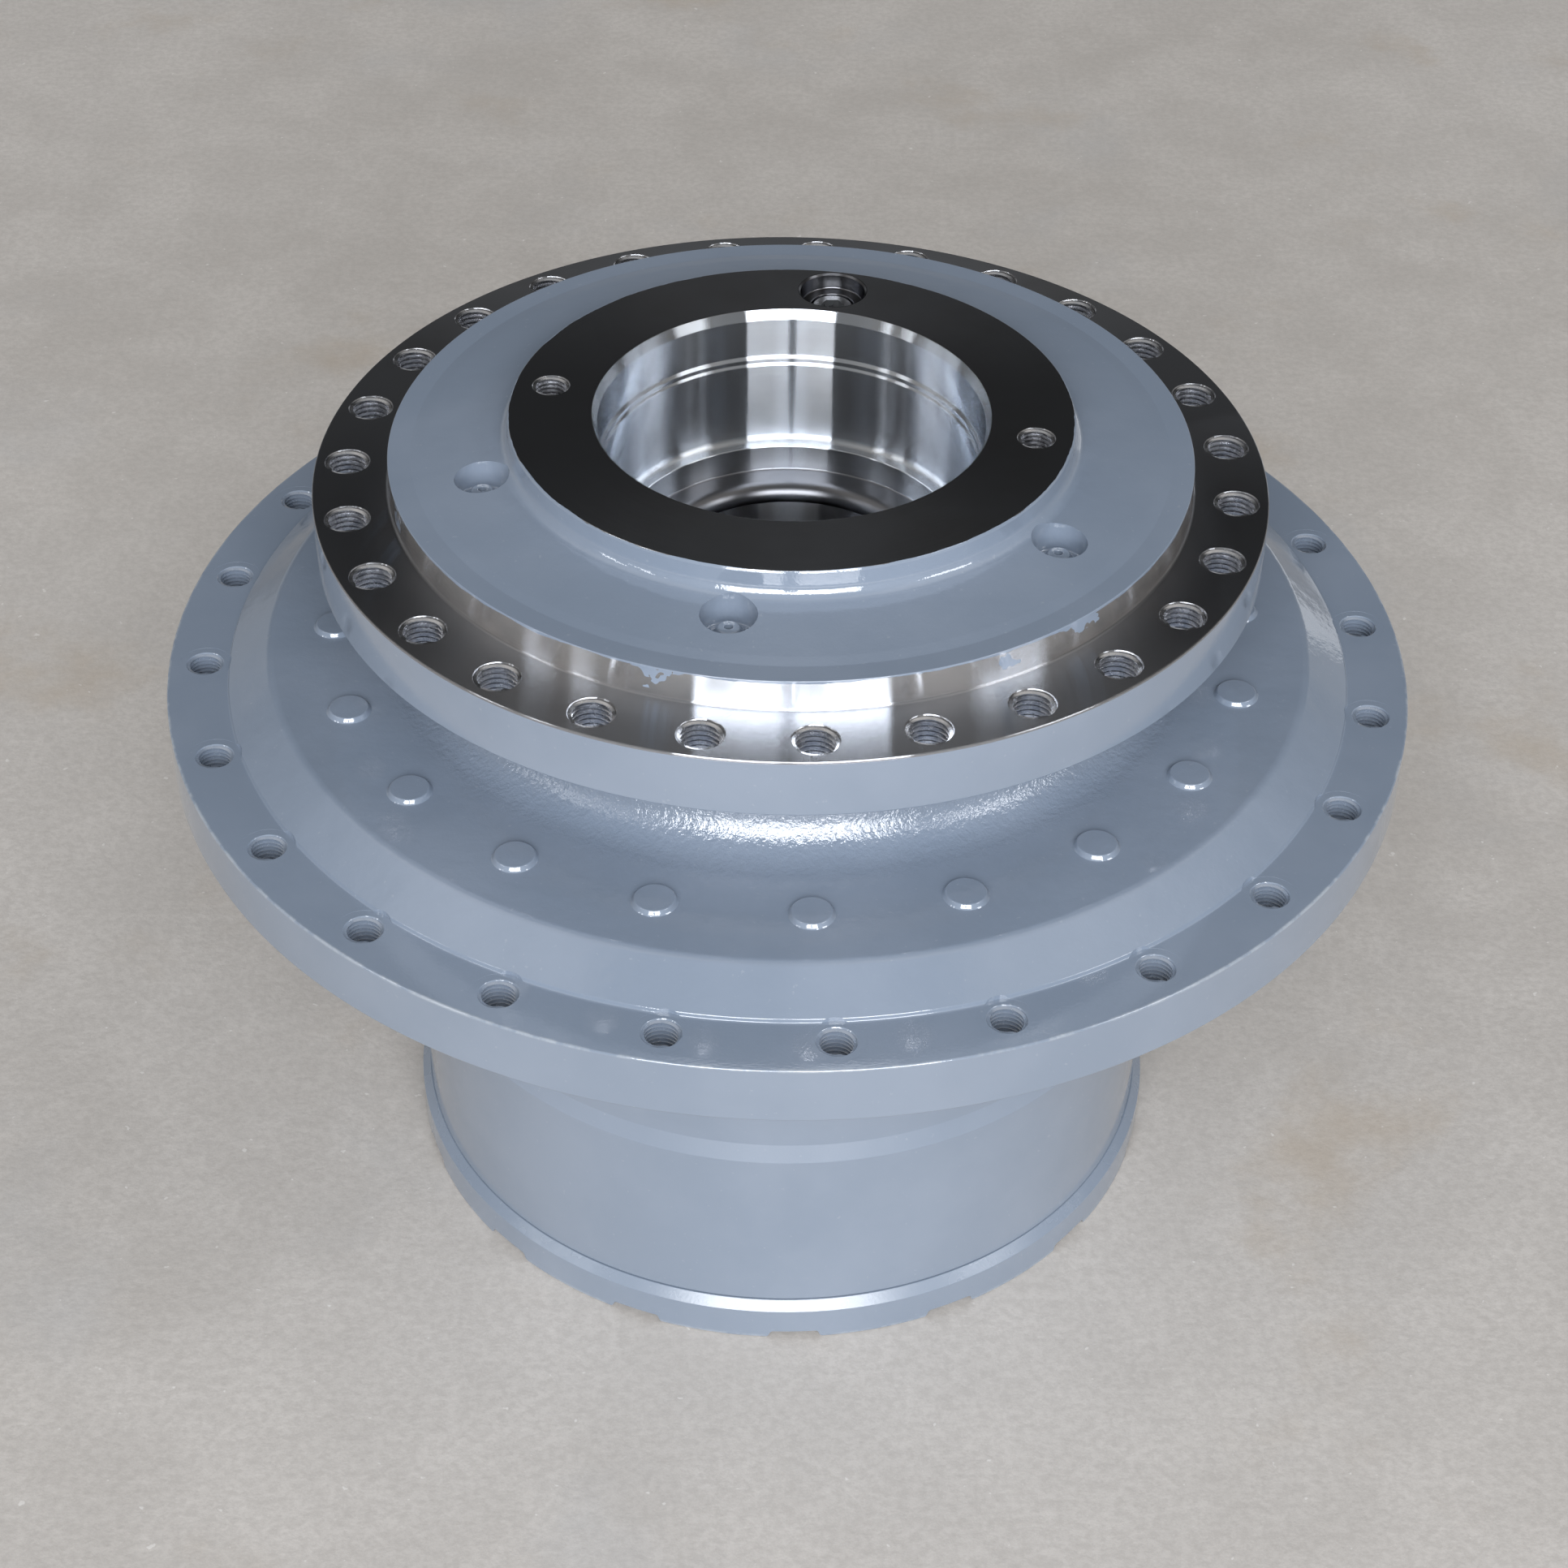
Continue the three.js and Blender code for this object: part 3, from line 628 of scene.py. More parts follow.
def bearing_profile(corners, which):
    """Turns (r, share of the height, corner radius) from the small end of a bearing into (r, z, radius)."""
    start, way = BEARING_Z[which]
    return [(r, start + way * share * BEARING_HEIGHT, radius) for r, share, radius in corners]


def roller_cage(which, finish):
    """The pressed cage with its pockets, and the tapered rollers that it carries."""
    rollers = 40
    cage = [(156.9, 0.05, 0.3), (159.9, 0.05, 0.3), (165.7, 0.95, 0.3), (162.7, 0.95, 0.3)]
    obj = turned(f"{which}_tapered_rollers_and_cage", bearing_profile(cage, which), 240)
    start, way = BEARING_Z[which]
    tilt = math.atan2(164.2 - 158.4, 0.88 * BEARING_HEIGHT) * way
    middle = Vector((161.3 * MM, 0, (start + way * BEARING_HEIGHT / 2) * MM))
    half = 0.37 * BEARING_HEIGHT
    small, large = (8.6, 9.4) if way > 0 else (9.4, 8.6)
    for grow, operation in ((0.5, "DIFFERENCE"), (0.0, "UNION")):
        bm = bmesh.new()
        for i in range(rollers):
            own = bmesh.new()
            body = [(small + grow - 1, -half - grow), (small + grow, -half + 1 - grow),
                    (large + grow, half - 1 + grow), (large + grow - 1, half + grow)]
            lathe(own, rod_profile([corner + (0.3,) for corner in body]), 24)
            own.transform(Matrix.Rotation(2 * math.pi * i / rollers, 4, "Z") @ Matrix.Translation(middle)
                          @ Matrix.Rotation(tilt, 4, "Y"))
            mesh = bpy.data.meshes.new("roller")
            own.to_mesh(mesh)
            own.free()
            bm.from_mesh(mesh)
            bpy.data.meshes.remove(mesh)
        combine(obj, bm, operation)
    finish_piece(obj, f"{which}_rollers", "hardened_bearing_steel", f"{which}_bearing_roller_cage", finish)


def bearings():
    finish = metal("ground_bearing_steel", (0.60, 0.60, 0.62, 1), 0.16)
    inner = [(140.75, 0, 1.5), (148.0, 0, 1.0), (154.0, 1, 1.0), (140.75, 1, 2.0)]
    outer = [(181.95, 0, 1.0), (181.95, 1, 2.0), (174.5, 1, 1.0), (168.5, 0, 1.0)]
    for which in ("upper", "lower"):
        obj = turned(f"{which}_bearing_cone", bearing_profile(inner, which), 240)
        finish_piece(obj, "hub", "hardened_bearing_steel", f"{which}_bearing_inner_race", finish)
        obj = turned(f"{which}_bearing_cup", bearing_profile(outer, which), 240)
        finish_piece(obj, "drum", "hardened_bearing_steel", f"{which}_bearing_outer_race", finish)
        roller_cage(which, finish)


def face_seal():
    """Two lapped rings, each carried by a rubber ring."""
    lapped = metal("lapped_seal_iron", (0.50, 0.49, 0.48, 1), 0.12)
    rubber = rubber_material()
    for body, way in (("hub", 1), ("drum", -1)):
        mid = 395.0
        ring = [(163.0, mid + way * 0.2, 0.4), (178.0, mid + way * 0.2, 0.3), (178.0, mid + way * 3.0, 0.8),
                (170.5, mid + way * 7.0, 2.5), (170.0, mid + way * 13.0, 0.8), (163.0, mid + way * 13.0, 0.8)]
        finish_piece(turned(f"{body}_seal_face_ring", ring, 240), body, "hardened_bearing_steel",
                     f"{body}_seal_ring", lapped)
        o_ring(f"{body}_seal_rubber_ring", 180.0, mid + way * 9.7, 4.2, body, f"{body}_seal_o_ring", rubber)
    o_ring("cover_rubber_ring", 195.8, 31.8, 1.35, "drum", "cover_o_ring", rubber)


def o_ring(name, radius, z, minor, body, node, finish):
    steps = [math.radians(20 * k) for k in range(18)]
    corners = [(radius + minor * math.cos(a), z + minor * math.sin(a)) for a in steps]
    finish_piece(turned(name, corners, 192), body, "seal_rubber", node, finish)


def nut_and_lock():
    finish = metal("phosphated_nut_steel", (0.24, 0.24, 0.25, 1), 0.38)
    obj = turned("slotted_bearing_nut", [(138.4, 208.2, 1.0), (163.0, 208.2, 1.5), (163.0, 227.4, 1.5),
                                         (138.4, 227.4, 1.0)], 192)
    bm = bmesh.new()
    for azimuth in (45, 135, 225, 315):
        spin = Matrix.Rotation(math.radians(azimuth), 3, "Z")
        slot = [(156, -6), (165, -6), (165, 6), (156, 6)]
        prism(bm, [spin @ Vector((x * MM, y * MM, 0)) for x, y in slot], 207, 230)
    screw_place = Vector((148 * MM, 0, 0))
    lathe(bm, [(0, 206), (3.6, 206), (3.6, 222), (0, 224)], 24, screw_place)
    combine(obj, bm)
    finish_piece(obj, "hub", "zinc_plated_steel", "bearing_nut", finish)
    plated = metal("zinc_lock_steel", (0.55, 0.54, 0.50, 1), 0.32)
    bm = bmesh.new()
    prism(bm, [Vector((x * MM, y * MM, 0)) for x, y in ((131.6, -6.5), (157, -6.5), (157, 6.5), (131.6, 6.5))],
          203.4, 207.6)
    obj = to_object(bm, "spindle_lock_plate", smooth=False)
    bm = bmesh.new()
    lathe(bm, [(0, 202), (3.6, 202), (3.6, 209), (0, 209)], 24, screw_place)
    combine(obj, bm)
    round_edges(obj, 0.8)
    finish_piece(obj, "hub", "zinc_plated_steel", "nut_lock_plate", plated)
    bm = bmesh.new()
    lathe(bm, rod_profile([(3.2, 201.0), (3.2, 204.0), (2.7, 206.0), (3.2, 208.0), (3.2, 219.0, 0.2), (2.4, 220.0)]),
          24, screw_place)
    obj = to_object(bm, "lock_plate_screw", smooth=False)
    bm = bmesh.new()
    prism(bm, hexagon(11.5, screw_place), 199.4, 203)
    combine(obj, bm, "UNION")
    finish_piece(obj, "hub", "zinc_plated_steel", "nut_lock_screw", plated)


def round_edges(obj, width):
    """Rounds the sharp edges of a piece, for good."""
    bevel = obj.modifiers.new("round_edges", "BEVEL")
    bevel.width = width * MM
    bevel.segments = 3
    bevel.limit_method = "ANGLE"
    bevel.angle_limit = math.radians(40)
    evaluated = obj.evaluated_get(bpy.context.evaluated_depsgraph_get())
    result = bpy.data.meshes.new_from_object(evaluated)
    obj.modifiers.clear()
    obj.data = result


# ---------- planetary stages ----------

CENTRE_DISTANCE = 117.0
SUN_TEETH = 15
PLANET_TEETH = 24
RUNNING_GAP = 0.35


def planet_place(i):
    """Where planet i stands, and the turn that meshes it with a sun that has a tooth on +X."""
    a = 2 * math.pi * i / 3
    turn = a * (1 + SUN_TEETH / PLANET_TEETH) + math.pi - math.pi / PLANET_TEETH
    place = Vector((CENTRE_DISTANCE * MM * math.cos(a), CENTRE_DISTANCE * MM * math.sin(a), 0))
    return Matrix.Translation(place) @ Matrix.Rotation(turn, 4, "Z")


def place_copy(obj, name, matrix):
    """A copy of a piece with its mesh moved by a matrix."""
    copy = bpy.data.objects.new(name, obj.data.copy())
    copy.data.transform(matrix)
    bpy.context.scene.collection.objects.link(copy)
    return copy


def planets(stage, z0, z1, pin_r, bore_r, pin_body, pin_z, head, gear_steel, bronze, ground):
    """Three planets with their bushes and pins, as copies of one of each."""
    gear = external_gear("planet", PLANET_TEETH, z0, z1, bore_r, recess=3.0)
    outer, inner = bore_r - RUNNING_GAP, pin_r + RUNNING_GAP + 0.2
    bush = turned("bush", [(inner, z0 - 0.9, 0.8), (outer, z0 - 0.9, 0.8), (outer, z1 + 0.9, 0.8),
                           (inner, z1 + 0.9, 0.8)], 96)
    low, high = pin_z
    step = [(pin_r + 7, low, 1.0), (pin_r + 7, low + 4, 1.0), (pin_r, low + 4, 0.5)] if head else [(pin_r, low, 1.5)]
    bm = bmesh.new()
    lathe(bm, rod_profile([(pin_r / 3, low + 0.01)] + step + [(pin_r, high, 1.5), (pin_r / 3, high - 0.01)]), 96)
    pin = to_object(bm, "pin", smooth=False)
    for i in range(3):
        number = i + 1
        here = planet_place(i)
        body = f"{stage}_planet_gear_{number}"
        finish_piece(place_copy(gear, f"{stage}_stage_planet_gear_{number}", here), body, "gear_steel",
                     f"{stage}_planet_{number}", gear_steel)
        finish_piece(place_copy(bush, f"{stage}_stage_bush_{number}", here), body, "bearing_bronze",
                     f"{stage}_planet_bush_{number}", bronze)
        finish_piece(place_copy(pin, f"{stage}_stage_pin_{number}", here), pin_body, "ground_pin_steel",
                     f"{stage}_planet_pin_{number}", ground)
    for made in (gear, bush, pin):
        bpy.data.objects.remove(made)


def pin_holes(bm, radius, z0, z1):
    for i in range(3):
        lathe(bm, [(0, z0), (radius, z0), (radius, z1), (0, z1)], 72, planet_place(i).translation)


def final_carrier(iron):
    """Two discs joined by three webs, with the splined tube that sits in the spindle."""
    obj = turned("final_carrier_casting", [(56, 98, 2), (160, 98, 2), (160, 110, 2), (56, 110, 2)], 192)
    bm = bmesh.new()
    lathe(bm, rounded([(56, 182, 2), (160, 182, 2), (160, 193, 1.5), (104.1, 193, 0.5), (104.1, 232, 1.5),
                       (80, 232, 1.5), (80, 193, 3), (56, 193, 2)]), 192)
    combine(obj, bm, "UNION")
    bm = bmesh.new()
    for azimuth in (60, 180, 300):
        spin = Matrix.Rotation(math.radians(azimuth), 3, "Z")
        web = [(64, -23), (152, -23), (152, 23), (64, 23)]
        prism(bm, [spin @ Vector((x * MM, y * MM, 0)) for x, y in web], 108, 184)
    combine(obj, bm, "UNION")
    bm = bmesh.new()
    pin_holes(bm, 20.2, 90, 200)
    combine(obj, bm)
    finish_piece(obj, "hub", "cast_carrier", "final_carrier", iron)


def first_carrier(iron):
    """A disc with pin holes and the internal spline that drives the final sun."""
    obj = turned("first_carrier_casting", [(0, 76), (146, 76, 2), (146, 92, 2), (0, 92)], 192)
    bm = bmesh.new()
    pitch_r = SUN_TEETH * GEAR_MODULE / 2
    prism(bm, gear_outline(SUN_TEETH, pitch_r + 4.8, pitch_r - 6.3, RUNNING_GAP), 75, 93)
    pin_holes(bm, 16.3, 70, 100)
    combine(obj, bm)
    finish_piece(obj, "first_stage_carrier", "cast_carrier", "first_carrier", iron)


def input_sun_shaft(gear_steel):
    """The first sun gear on a long shaft with the motor's spline at its head."""
    obj = external_gear("splined_sun_shaft", SUN_TEETH, 38, 73, 0)
    bm = bmesh.new()
    lathe(bm, rod_profile([(19, 33, 1.5), (19, 300, 0.5), (18, 304, 0.5), (18, 326, 0.5), (19, 330, 0.5),
                           (19, 372, 2.0)]), 72)
    combine(obj, bm, "UNION")
    bm = bmesh.new()
    for i in range(12):
        spin = Matrix.Rotation(2 * math.pi * i / 12, 3, "Z")
        tooth = [(10, -2.2), (21.2, -2.2), (22, -1.5), (22, 1.5), (21.2, 2.2), (10, 2.2)]
        prism(bm, [spin @ Vector((x * MM, y * MM, 0)) for x, y in tooth], 330, 370.5)
    combine(obj, bm, "UNION")
    finish_piece(obj, "input_sun", "gear_steel", "input_sun_shaft", gear_steel)


def planetary_stages():
    gear_steel = metal("oiled_gear_steel", (0.36, 0.35, 0.34, 1), 0.26)
    iron = metal("carrier_iron", (0.20, 0.195, 0.19, 1), 0.45, cast=0.0004)
    bronze = metal("bearing_bronze", (0.60, 0.40, 0.17, 1), 0.26)
    ground = metal("ground_pin_steel", (0.58, 0.58, 0.60, 1), 0.16)
    planets("first", 40, 72, 16, 20, "first_stage_carrier", (33, 91), True, gear_steel, bronze, ground)
    planets("final", 114, 178, 20, 25, "hub", (98, 193), False, gear_steel, bronze, ground)
    final_carrier(iron)
    first_carrier(iron)
    input_sun_shaft(gear_steel)
    sun = external_gear("final_stage_sun_gear", SUN_TEETH, 77, 191, 23)
    finish_piece(sun, "first_stage_carrier", "gear_steel", "final_sun_gear", gear_steel)
    pad = [(0, 22.4), (34, 22.4, 0.5), (34, 28, 1.0), (30, 31.5, 1.5), (6, 31.5, 0.5), (5, 30.5), (0, 30.5)]
    finish_piece(turned("thrust_button", pad, 96), "drum", "bearing_bronze", "cover_thrust_pad", bronze)


# ---------- materials ----------


def new_material(name):
    material = bpy.data.materials.new(name)
    material.use_nodes = True
    nodes = material.node_tree.nodes
    nodes.clear()
    output = nodes.new("ShaderNodeOutputMaterial")
    return material, Graph(material.node_tree, output)


class Graph:
    """Short names for the shader nodes that the materials are built from."""

    def __init__(self, tree, output):
        self.tree = tree
        self.output = output
        position = self.node("ShaderNodeTexCoord").outputs["Object"]
        self.position = position
        split = self.node("ShaderNodeSeparateXYZ", Vector=position)
        self.x, self.y, self.z = split.outputs
        self.r = self.math("SQRT", self.math("ADD", self.math("MULTIPLY", self.x, self.x),
                                             self.math("MULTIPLY", self.y, self.y)))

    def node(self, kind, **inputs):
        made = self.tree.nodes.new(kind)
        for name, value in inputs.items():
            self.link(made.inputs[name.replace("_", " ")], value)
        return made

    def link(self, socket, value):
        if isinstance(value, bpy.types.NodeSocket):
            self.tree.links.new(value, socket)
        else:
            socket.default_value = value

    def math(self, operation, a, b=0.0, c=0.0):
        made = self.tree.nodes.new("ShaderNodeMath")
        made.operation = operation
        for socket, value in zip(made.inputs, (a, b, c)):
            self.link(socket, value)
        return made.outputs[0]

    def ramp(self, value, low, high, out_low=0.0, out_high=1.0):
        """A smooth step of value from low to high."""
        made = self.node("ShaderNodeMapRange")
        made.interpolation_type = "SMOOTHSTEP"
        for name, v in (("Value", value), ("From Min", low), ("From Max", high), ("To Min", out_low),
                        ("To Max", out_high)):
            self.link(made.inputs[name], v)
        return made.outputs[0]

    def between(self, value, low, high, soft=0.0003):
        """1 where value is between low and high."""
        return self.math("MULTIPLY", self.ramp(value, low - soft, low + soft), self.ramp(value, high + soft, high - soft))

    def from_hole(self, places):
        """The distance in metres from the axis of the nearest hole of a bolt circle."""
        pcr = places["pcr"] * MM
        if "azimuths" in places:
            nearest = 1.0
            for azimuth in places["azimuths"]:
                spot = polar(places["pcr"], azimuth)
                dx, dy = self.math("SUBTRACT", self.x, spot.x), self.math("SUBTRACT", self.y, spot.y)
                square = self.math("ADD", self.math("MULTIPLY", dx, dx), self.math("MULTIPLY", dy, dy))
                nearest = self.math("MINIMUM", nearest, self.math("SQRT", square))
            return nearest
        step = 2 * math.pi / places["count"]
        azimuth = self.math("ARCTAN2", self.x, self.math("MULTIPLY", self.y, -1.0))
        turns = self.math("DIVIDE", self.math("SUBTRACT", azimuth, math.radians(places["start"])), step)
        off = self.math("MULTIPLY", self.math("SUBTRACT", turns, self.math("ROUND", turns)), step)
        cross = self.math("MULTIPLY", self.math("MULTIPLY", self.r, 2 * pcr), self.math("COSINE", off))
        return self.math("SQRT", self.math("SUBTRACT", self.math("ADD", self.math("MULTIPLY", self.r, self.r), pcr * pcr),
                                           cross))

    def noise(self, scale, detail=3.0, roughness=0.55, vector=None):
        made = self.node("ShaderNodeTexNoise", Vector=vector or self.position, Scale=scale, Detail=detail,
                         Roughness=roughness)
        return made.outputs["Fac"]

    def mix(self, factor, a, b):
        made = self.tree.nodes.new("ShaderNodeMix")
        made.data_type = "RGBA"
        self.link(made.inputs["Factor"], factor)
        self.link(made.inputs["A"], a)
        self.link(made.inputs["B"], b)
        return made.outputs["Result"]

    def blend(self, factor, a, b):
        made = self.tree.nodes.new("ShaderNodeMix")
        self.link(made.inputs["Factor"], factor)
        self.link(made.inputs["A"], a)
        self.link(made.inputs["B"], b)
        return made.outputs["Result"]

    def bump(self, height, distance, strength=1.0, normal=None):
        made = self.node("ShaderNodeBump", Height=height, Distance=distance, Strength=strength)
        if normal is not None:
            self.link(made.inputs["Normal"], normal)
        return made.outputs["Normal"]

    def shader(self, **inputs):
        return self.node("ShaderNodeBsdfPrincipled", **inputs).outputs[0]

    def mix_shader(self, factor, a, b):
        made = self.node("ShaderNodeMixShader", Fac=factor)
        self.tree.links.new(a, made.inputs[1])
        self.tree.links.new(b, made.inputs[2])
        return made.outputs[0]

    def done(self, shader):
        self.tree.links.new(shader, self.output.inputs["Surface"])


PAINT_COLOUR = (0.206, 0.252, 0.320, 1)
PAINT_LIGHT = (0.233, 0.279, 0.349, 1)
WORN_PAINT = (0.33, 0.37, 0.42, 1)
THREAD_CREST = (0.86, 0.87, 0.90, 1)
# the colour of the thread roots is painted shade, darker than the crests
THREAD_ROOT_SHADE = (0.34, 0.34, 0.35, 1)
FLOOR_DARK = (0.505, 0.474, 0.438, 1)
FLOOR_LIGHT = (0.560, 0.531, 0.498, 1)


def paint_shader(g, cast=0.0, wear=0.0, sand=0.0, matt=0.0):
    """Gloss sprayed paint: fine orange peel everywhere, the casting's waviness where cast is 1, its sandy skin where
    sand is 1, lighter rubbed paint where wear is 1, and a blurred gloss where matt is 1."""
    tone = g.ramp(g.noise(9.0, 4.0), 0.35, 0.68)
    base = g.mix(tone, PAINT_COLOUR, PAINT_LIGHT)
    dust = g.ramp(g.noise(310.0, 2.0, 0.5), 0.70, 0.76, 0.0, 0.35)
    rubbed = g.math("MULTIPLY", wear, g.ramp(g.noise(60.0, 4.0, 0.7), 0.40, 0.60))
    base = g.mix(g.math("MAXIMUM", dust, rubbed), base, WORN_PAINT)
    peel = g.noise(560.0, 2.0)
    wave = g.noise(150.0, 3.0, 0.6)
    lumps = g.noise(34.0, 2.0)
    normal = g.bump(peel, 0.00004)
    normal = g.bump(wave, 0.00022, g.math("ADD", 0.10, g.math("MULTIPLY", cast, 0.9)), normal)
    normal = g.bump(lumps, 0.0008, cast, normal)
    normal = g.bump(g.noise(280.0, 3.0, 0.6), 0.0006, sand, normal)
    rough = g.ramp(g.noise(30.0, 4.0), 0.3, 0.7, 0.40, 0.50)
    gloss = g.math("ADD", g.ramp(g.noise(44.0, 3.0), 0.3, 0.7, 0.035, 0.06), g.math("MULTIPLY", matt, 0.22))
    return g.shader(Base_Color=base, Roughness=rough, Normal=normal, Specular_IOR_Level=0.12, Coat_Weight=1.0,
                    Coat_Roughness=gloss, Coat_IOR=1.95, Coat_Normal=normal)


def thread_shader(g, distance, minor, major):
    """Cut threads: bright crests, and roots darkened as painted shade in the thread's grooves."""
    # painted shade: the colour darkens from the crests towards the roots
    depth = g.ramp(distance, (minor * 0.4 + major * 0.6) * MM, major * MM)
    base = g.mix(depth, THREAD_CREST, THREAD_ROOT_SHADE)
    rough = g.ramp(g.noise(180.0, 3.0), 0.3, 0.7, 0.19, 0.30)
    return g.shader(Base_Color=base, Metallic=1.0, Roughness=rough, Normal=g.bump(g.noise(700.0, 2.0), 0.00004))


def steel_shader(g, roughness=0.18, anisotropy=0.35, colour=(0.60, 0.60, 0.62, 1), marks=0.015):
    """Bare turned steel: reflections stretched across fine concentric tool marks, under a thin uneven oil film."""
    tangent = g.node("ShaderNodeTangent")
    tangent.direction_type = "RADIAL"
    tangent.axis = "Z"
    along = g.math("ADD", g.r, g.math("MULTIPLY", g.z, 0.7))
    lines = g.node("ShaderNodeTexNoise", Scale=900.0, Detail=3.0, Roughness=0.6)
    lines.noise_dimensions = "1D"
    g.link(lines.inputs["W"], along)
    bands = g.ramp(lines.outputs["Fac"], 0.3, 0.7, -marks, marks)
    smear = g.ramp(g.noise(17.0, 4.0), 0.3, 0.7, -0.004, 0.008)
    rough = g.math("ADD", roughness, g.math("ADD", bands, smear))
    film = g.ramp(g.noise(11.0, 4.0, 0.65), 0.45, 0.75, 0.0, 0.35)
    tint = g.mix(film, colour, tuple(c * k for c, k in zip(colour, (0.80, 0.74, 0.68))) + (1,))
    normal = g.bump(lines.outputs["Fac"], 0.0000008, 1.0)
    made = g.node("ShaderNodeBsdfAnisotropic", Color=tint, Roughness=rough, Anisotropy=anisotropy,
                  Tangent=tangent.outputs[0], Normal=normal)
    made.distribution = "BECKMANN"
    return made.outputs[0]


def hub_material():
    """Paint with a bare boss face, bare flange face, bare bore and bare threads."""
    material, g = new_material("hub_paint_and_steel")
    ragged = g.ramp(g.noise(26.0, 5.0, 0.6), 0.3, 0.7, -0.0035, 0.0035)
    nibbled = g.math("MULTIPLY", ragged, 0.16)
    boss_edge = g.math("ADD", g.r, nibbled)
    boss = g.math("MULTIPLY", g.ramp(g.z, 0.4878, 0.4882), g.math("LESS_THAN", boss_edge, 0.1524))
    face = g.math("MULTIPLY", g.math("GREATER_THAN", g.math("ADD", g.z, g.math("MULTIPLY", nibbled, 0.5)), 0.4509),
                  g.between(g.r, 0.2190, 0.2610))
    patches = g.ramp(g.noise(14.0, 5.0, 0.65), 0.61, 0.63, 0.0, 0.012)
    paint_low = g.math("SUBTRACT", g.math("ADD", 0.4678, g.math("MULTIPLY", ragged, 0.2)), patches)
    wall = g.math("MULTIPLY", g.math("GREATER_THAN", g.r, 0.2178), g.math("MULTIPLY",
                  g.math("GREATER_THAN", g.z, 0.4500), g.math("LESS_THAN", g.z, paint_low)))
    bore = g.math("MULTIPLY", g.math("LESS_THAN", g.r, 0.1085), g.math("GREATER_THAN", g.z, 0.3805))
    under = g.math("LESS_THAN", g.z, 0.4160)
    frame_hole, jack, plug_port = (g.from_hole(places) for places in (FRAME_HOLES, JACKS, PLUG_PORT))
    holes = g.math("MULTIPLY", g.between(g.z, 0.4183, 0.4512, 0.0001), g.math("LESS_THAN", frame_hole, 0.01202))
    jacks = g.math("MULTIPLY", g.between(g.z, 0.4560, 0.4888, 0.0001), g.math("LESS_THAN", jack, 0.00992))
    plug_seat = g.math("MULTIPLY", g.math("GREATER_THAN", g.z, 0.4590), g.math("LESS_THAN", plug_port, 0.0197))
    steel = boss
    for part in (face, wall, bore, under, holes, jacks, plug_seat):
        steel = g.math("MAXIMUM", steel, part)
    flats = steel_shader(g, 0.21, 0.72, (0.61, 0.625, 0.66, 1), 0.005)
    bright_face = steel_shader(g, 0.22, 0.86, (0.59, 0.605, 0.64, 1), 0.003)
    # a lighter, bluer copy of the bare steel for the bore and step walls: painted reflection
    bore_steel_painted_reflection = steel_shader(g, 0.22, 0.86, (0.65, 0.68, 0.72, 1), 0.003)
    # a darker copy of the bare steel: painted shade for the bore's deep ledge and the plug seat
    shaded_recess_steel = steel_shader(g, 0.30, 0.3, (0.20, 0.205, 0.22, 1), 0.02)
    step = g.math("MULTIPLY", wall, g.math("MULTIPLY", g.math("LESS_THAN", g.r, 0.2192), g.math("GREATER_THAN", g.z, 0.4525)))
    upright = g.math("MAXIMUM", g.math("MULTIPLY", bore, g.math("LESS_THAN", g.z, 0.4888)), step)
    bare = g.mix_shader(g.math("LESS_THAN", g.z, 0.4600), flats, bright_face)
    bare = g.mix_shader(upright, bare, bore_steel_painted_reflection)
    dulled = g.math("MULTIPLY", step, g.ramp(g.noise(20.0, 5.0, 0.65), 0.30, 0.70, 0.06, 0.20))
    bare = g.mix_shader(dulled, bare, g.shader(Base_Color=(0.44, 0.39, 0.35, 1), Roughness=0.45))
    # painted shade on the ledge at the bottom of the bore and in the plug seat
    shaded_bore_bottom = g.math("MULTIPLY", bore, g.math("LESS_THAN", g.z, 0.3910))
    bare = g.mix_shader(g.math("MAXIMUM", plug_seat, shaded_bore_bottom), bare, shaded_recess_steel)
    bare = g.mix_shader(holes, bare, thread_shader(g, frame_hole, 10.2, 12.0))
    bare = g.mix_shader(jacks, bare, thread_shader(g, jack, 8.4, 9.9))
    cast = g.math("MULTIPLY", g.between(g.r, 0.1535, 0.2000, 0.003), g.ramp(g.r, 0.172, 0.162, 0.22, 0.75))
    g.done(g.mix_shader(steel, paint_shader(g, cast=cast), bare))
    return material


def drum_material():
    material, g = new_material("drum_paint")
    cast = g.math("MULTIPLY", g.between(g.r, 0.190, 0.316, 0.002), g.between(g.z, 0.333, 0.406, 0.001))
    sand = g.ramp(g.r, 0.236, 0.222)
    inside = g.math("LESS_THAN", g.r, 0.1975)
    hole = g.from_hole(SPROCKET_HOLES)
    threads = g.math("MULTIPLY", g.math("LESS_THAN", hole, 0.0104), g.between(g.z, 0.2990, 0.3318, 0.0004))
    rim = g.math("MULTIPLY", g.ramp(g.r, 0.3480, 0.3493), g.ramp(g.z, 0.3305, 0.3318))
    painted = paint_shader(g, cast=g.math("MULTIPLY", cast, 0.6), wear=rim, sand=g.math("MULTIPLY", cast, sand))
    painted = g.mix_shader(g.math("MULTIPLY", threads, 0.22), painted, thread_shader(g, hole, 8.6, 10.1))
    g.done(g.mix_shader(inside, painted, steel_shader(g)))
    return material


def ring_gear_material():
    material, g = new_material("ring_gear_paint")
    inside = g.math("LESS_THAN", g.r, 0.1995)
    g.done(g.mix_shader(inside, paint_shader(g), steel_shader(g, 0.35)))
    return material


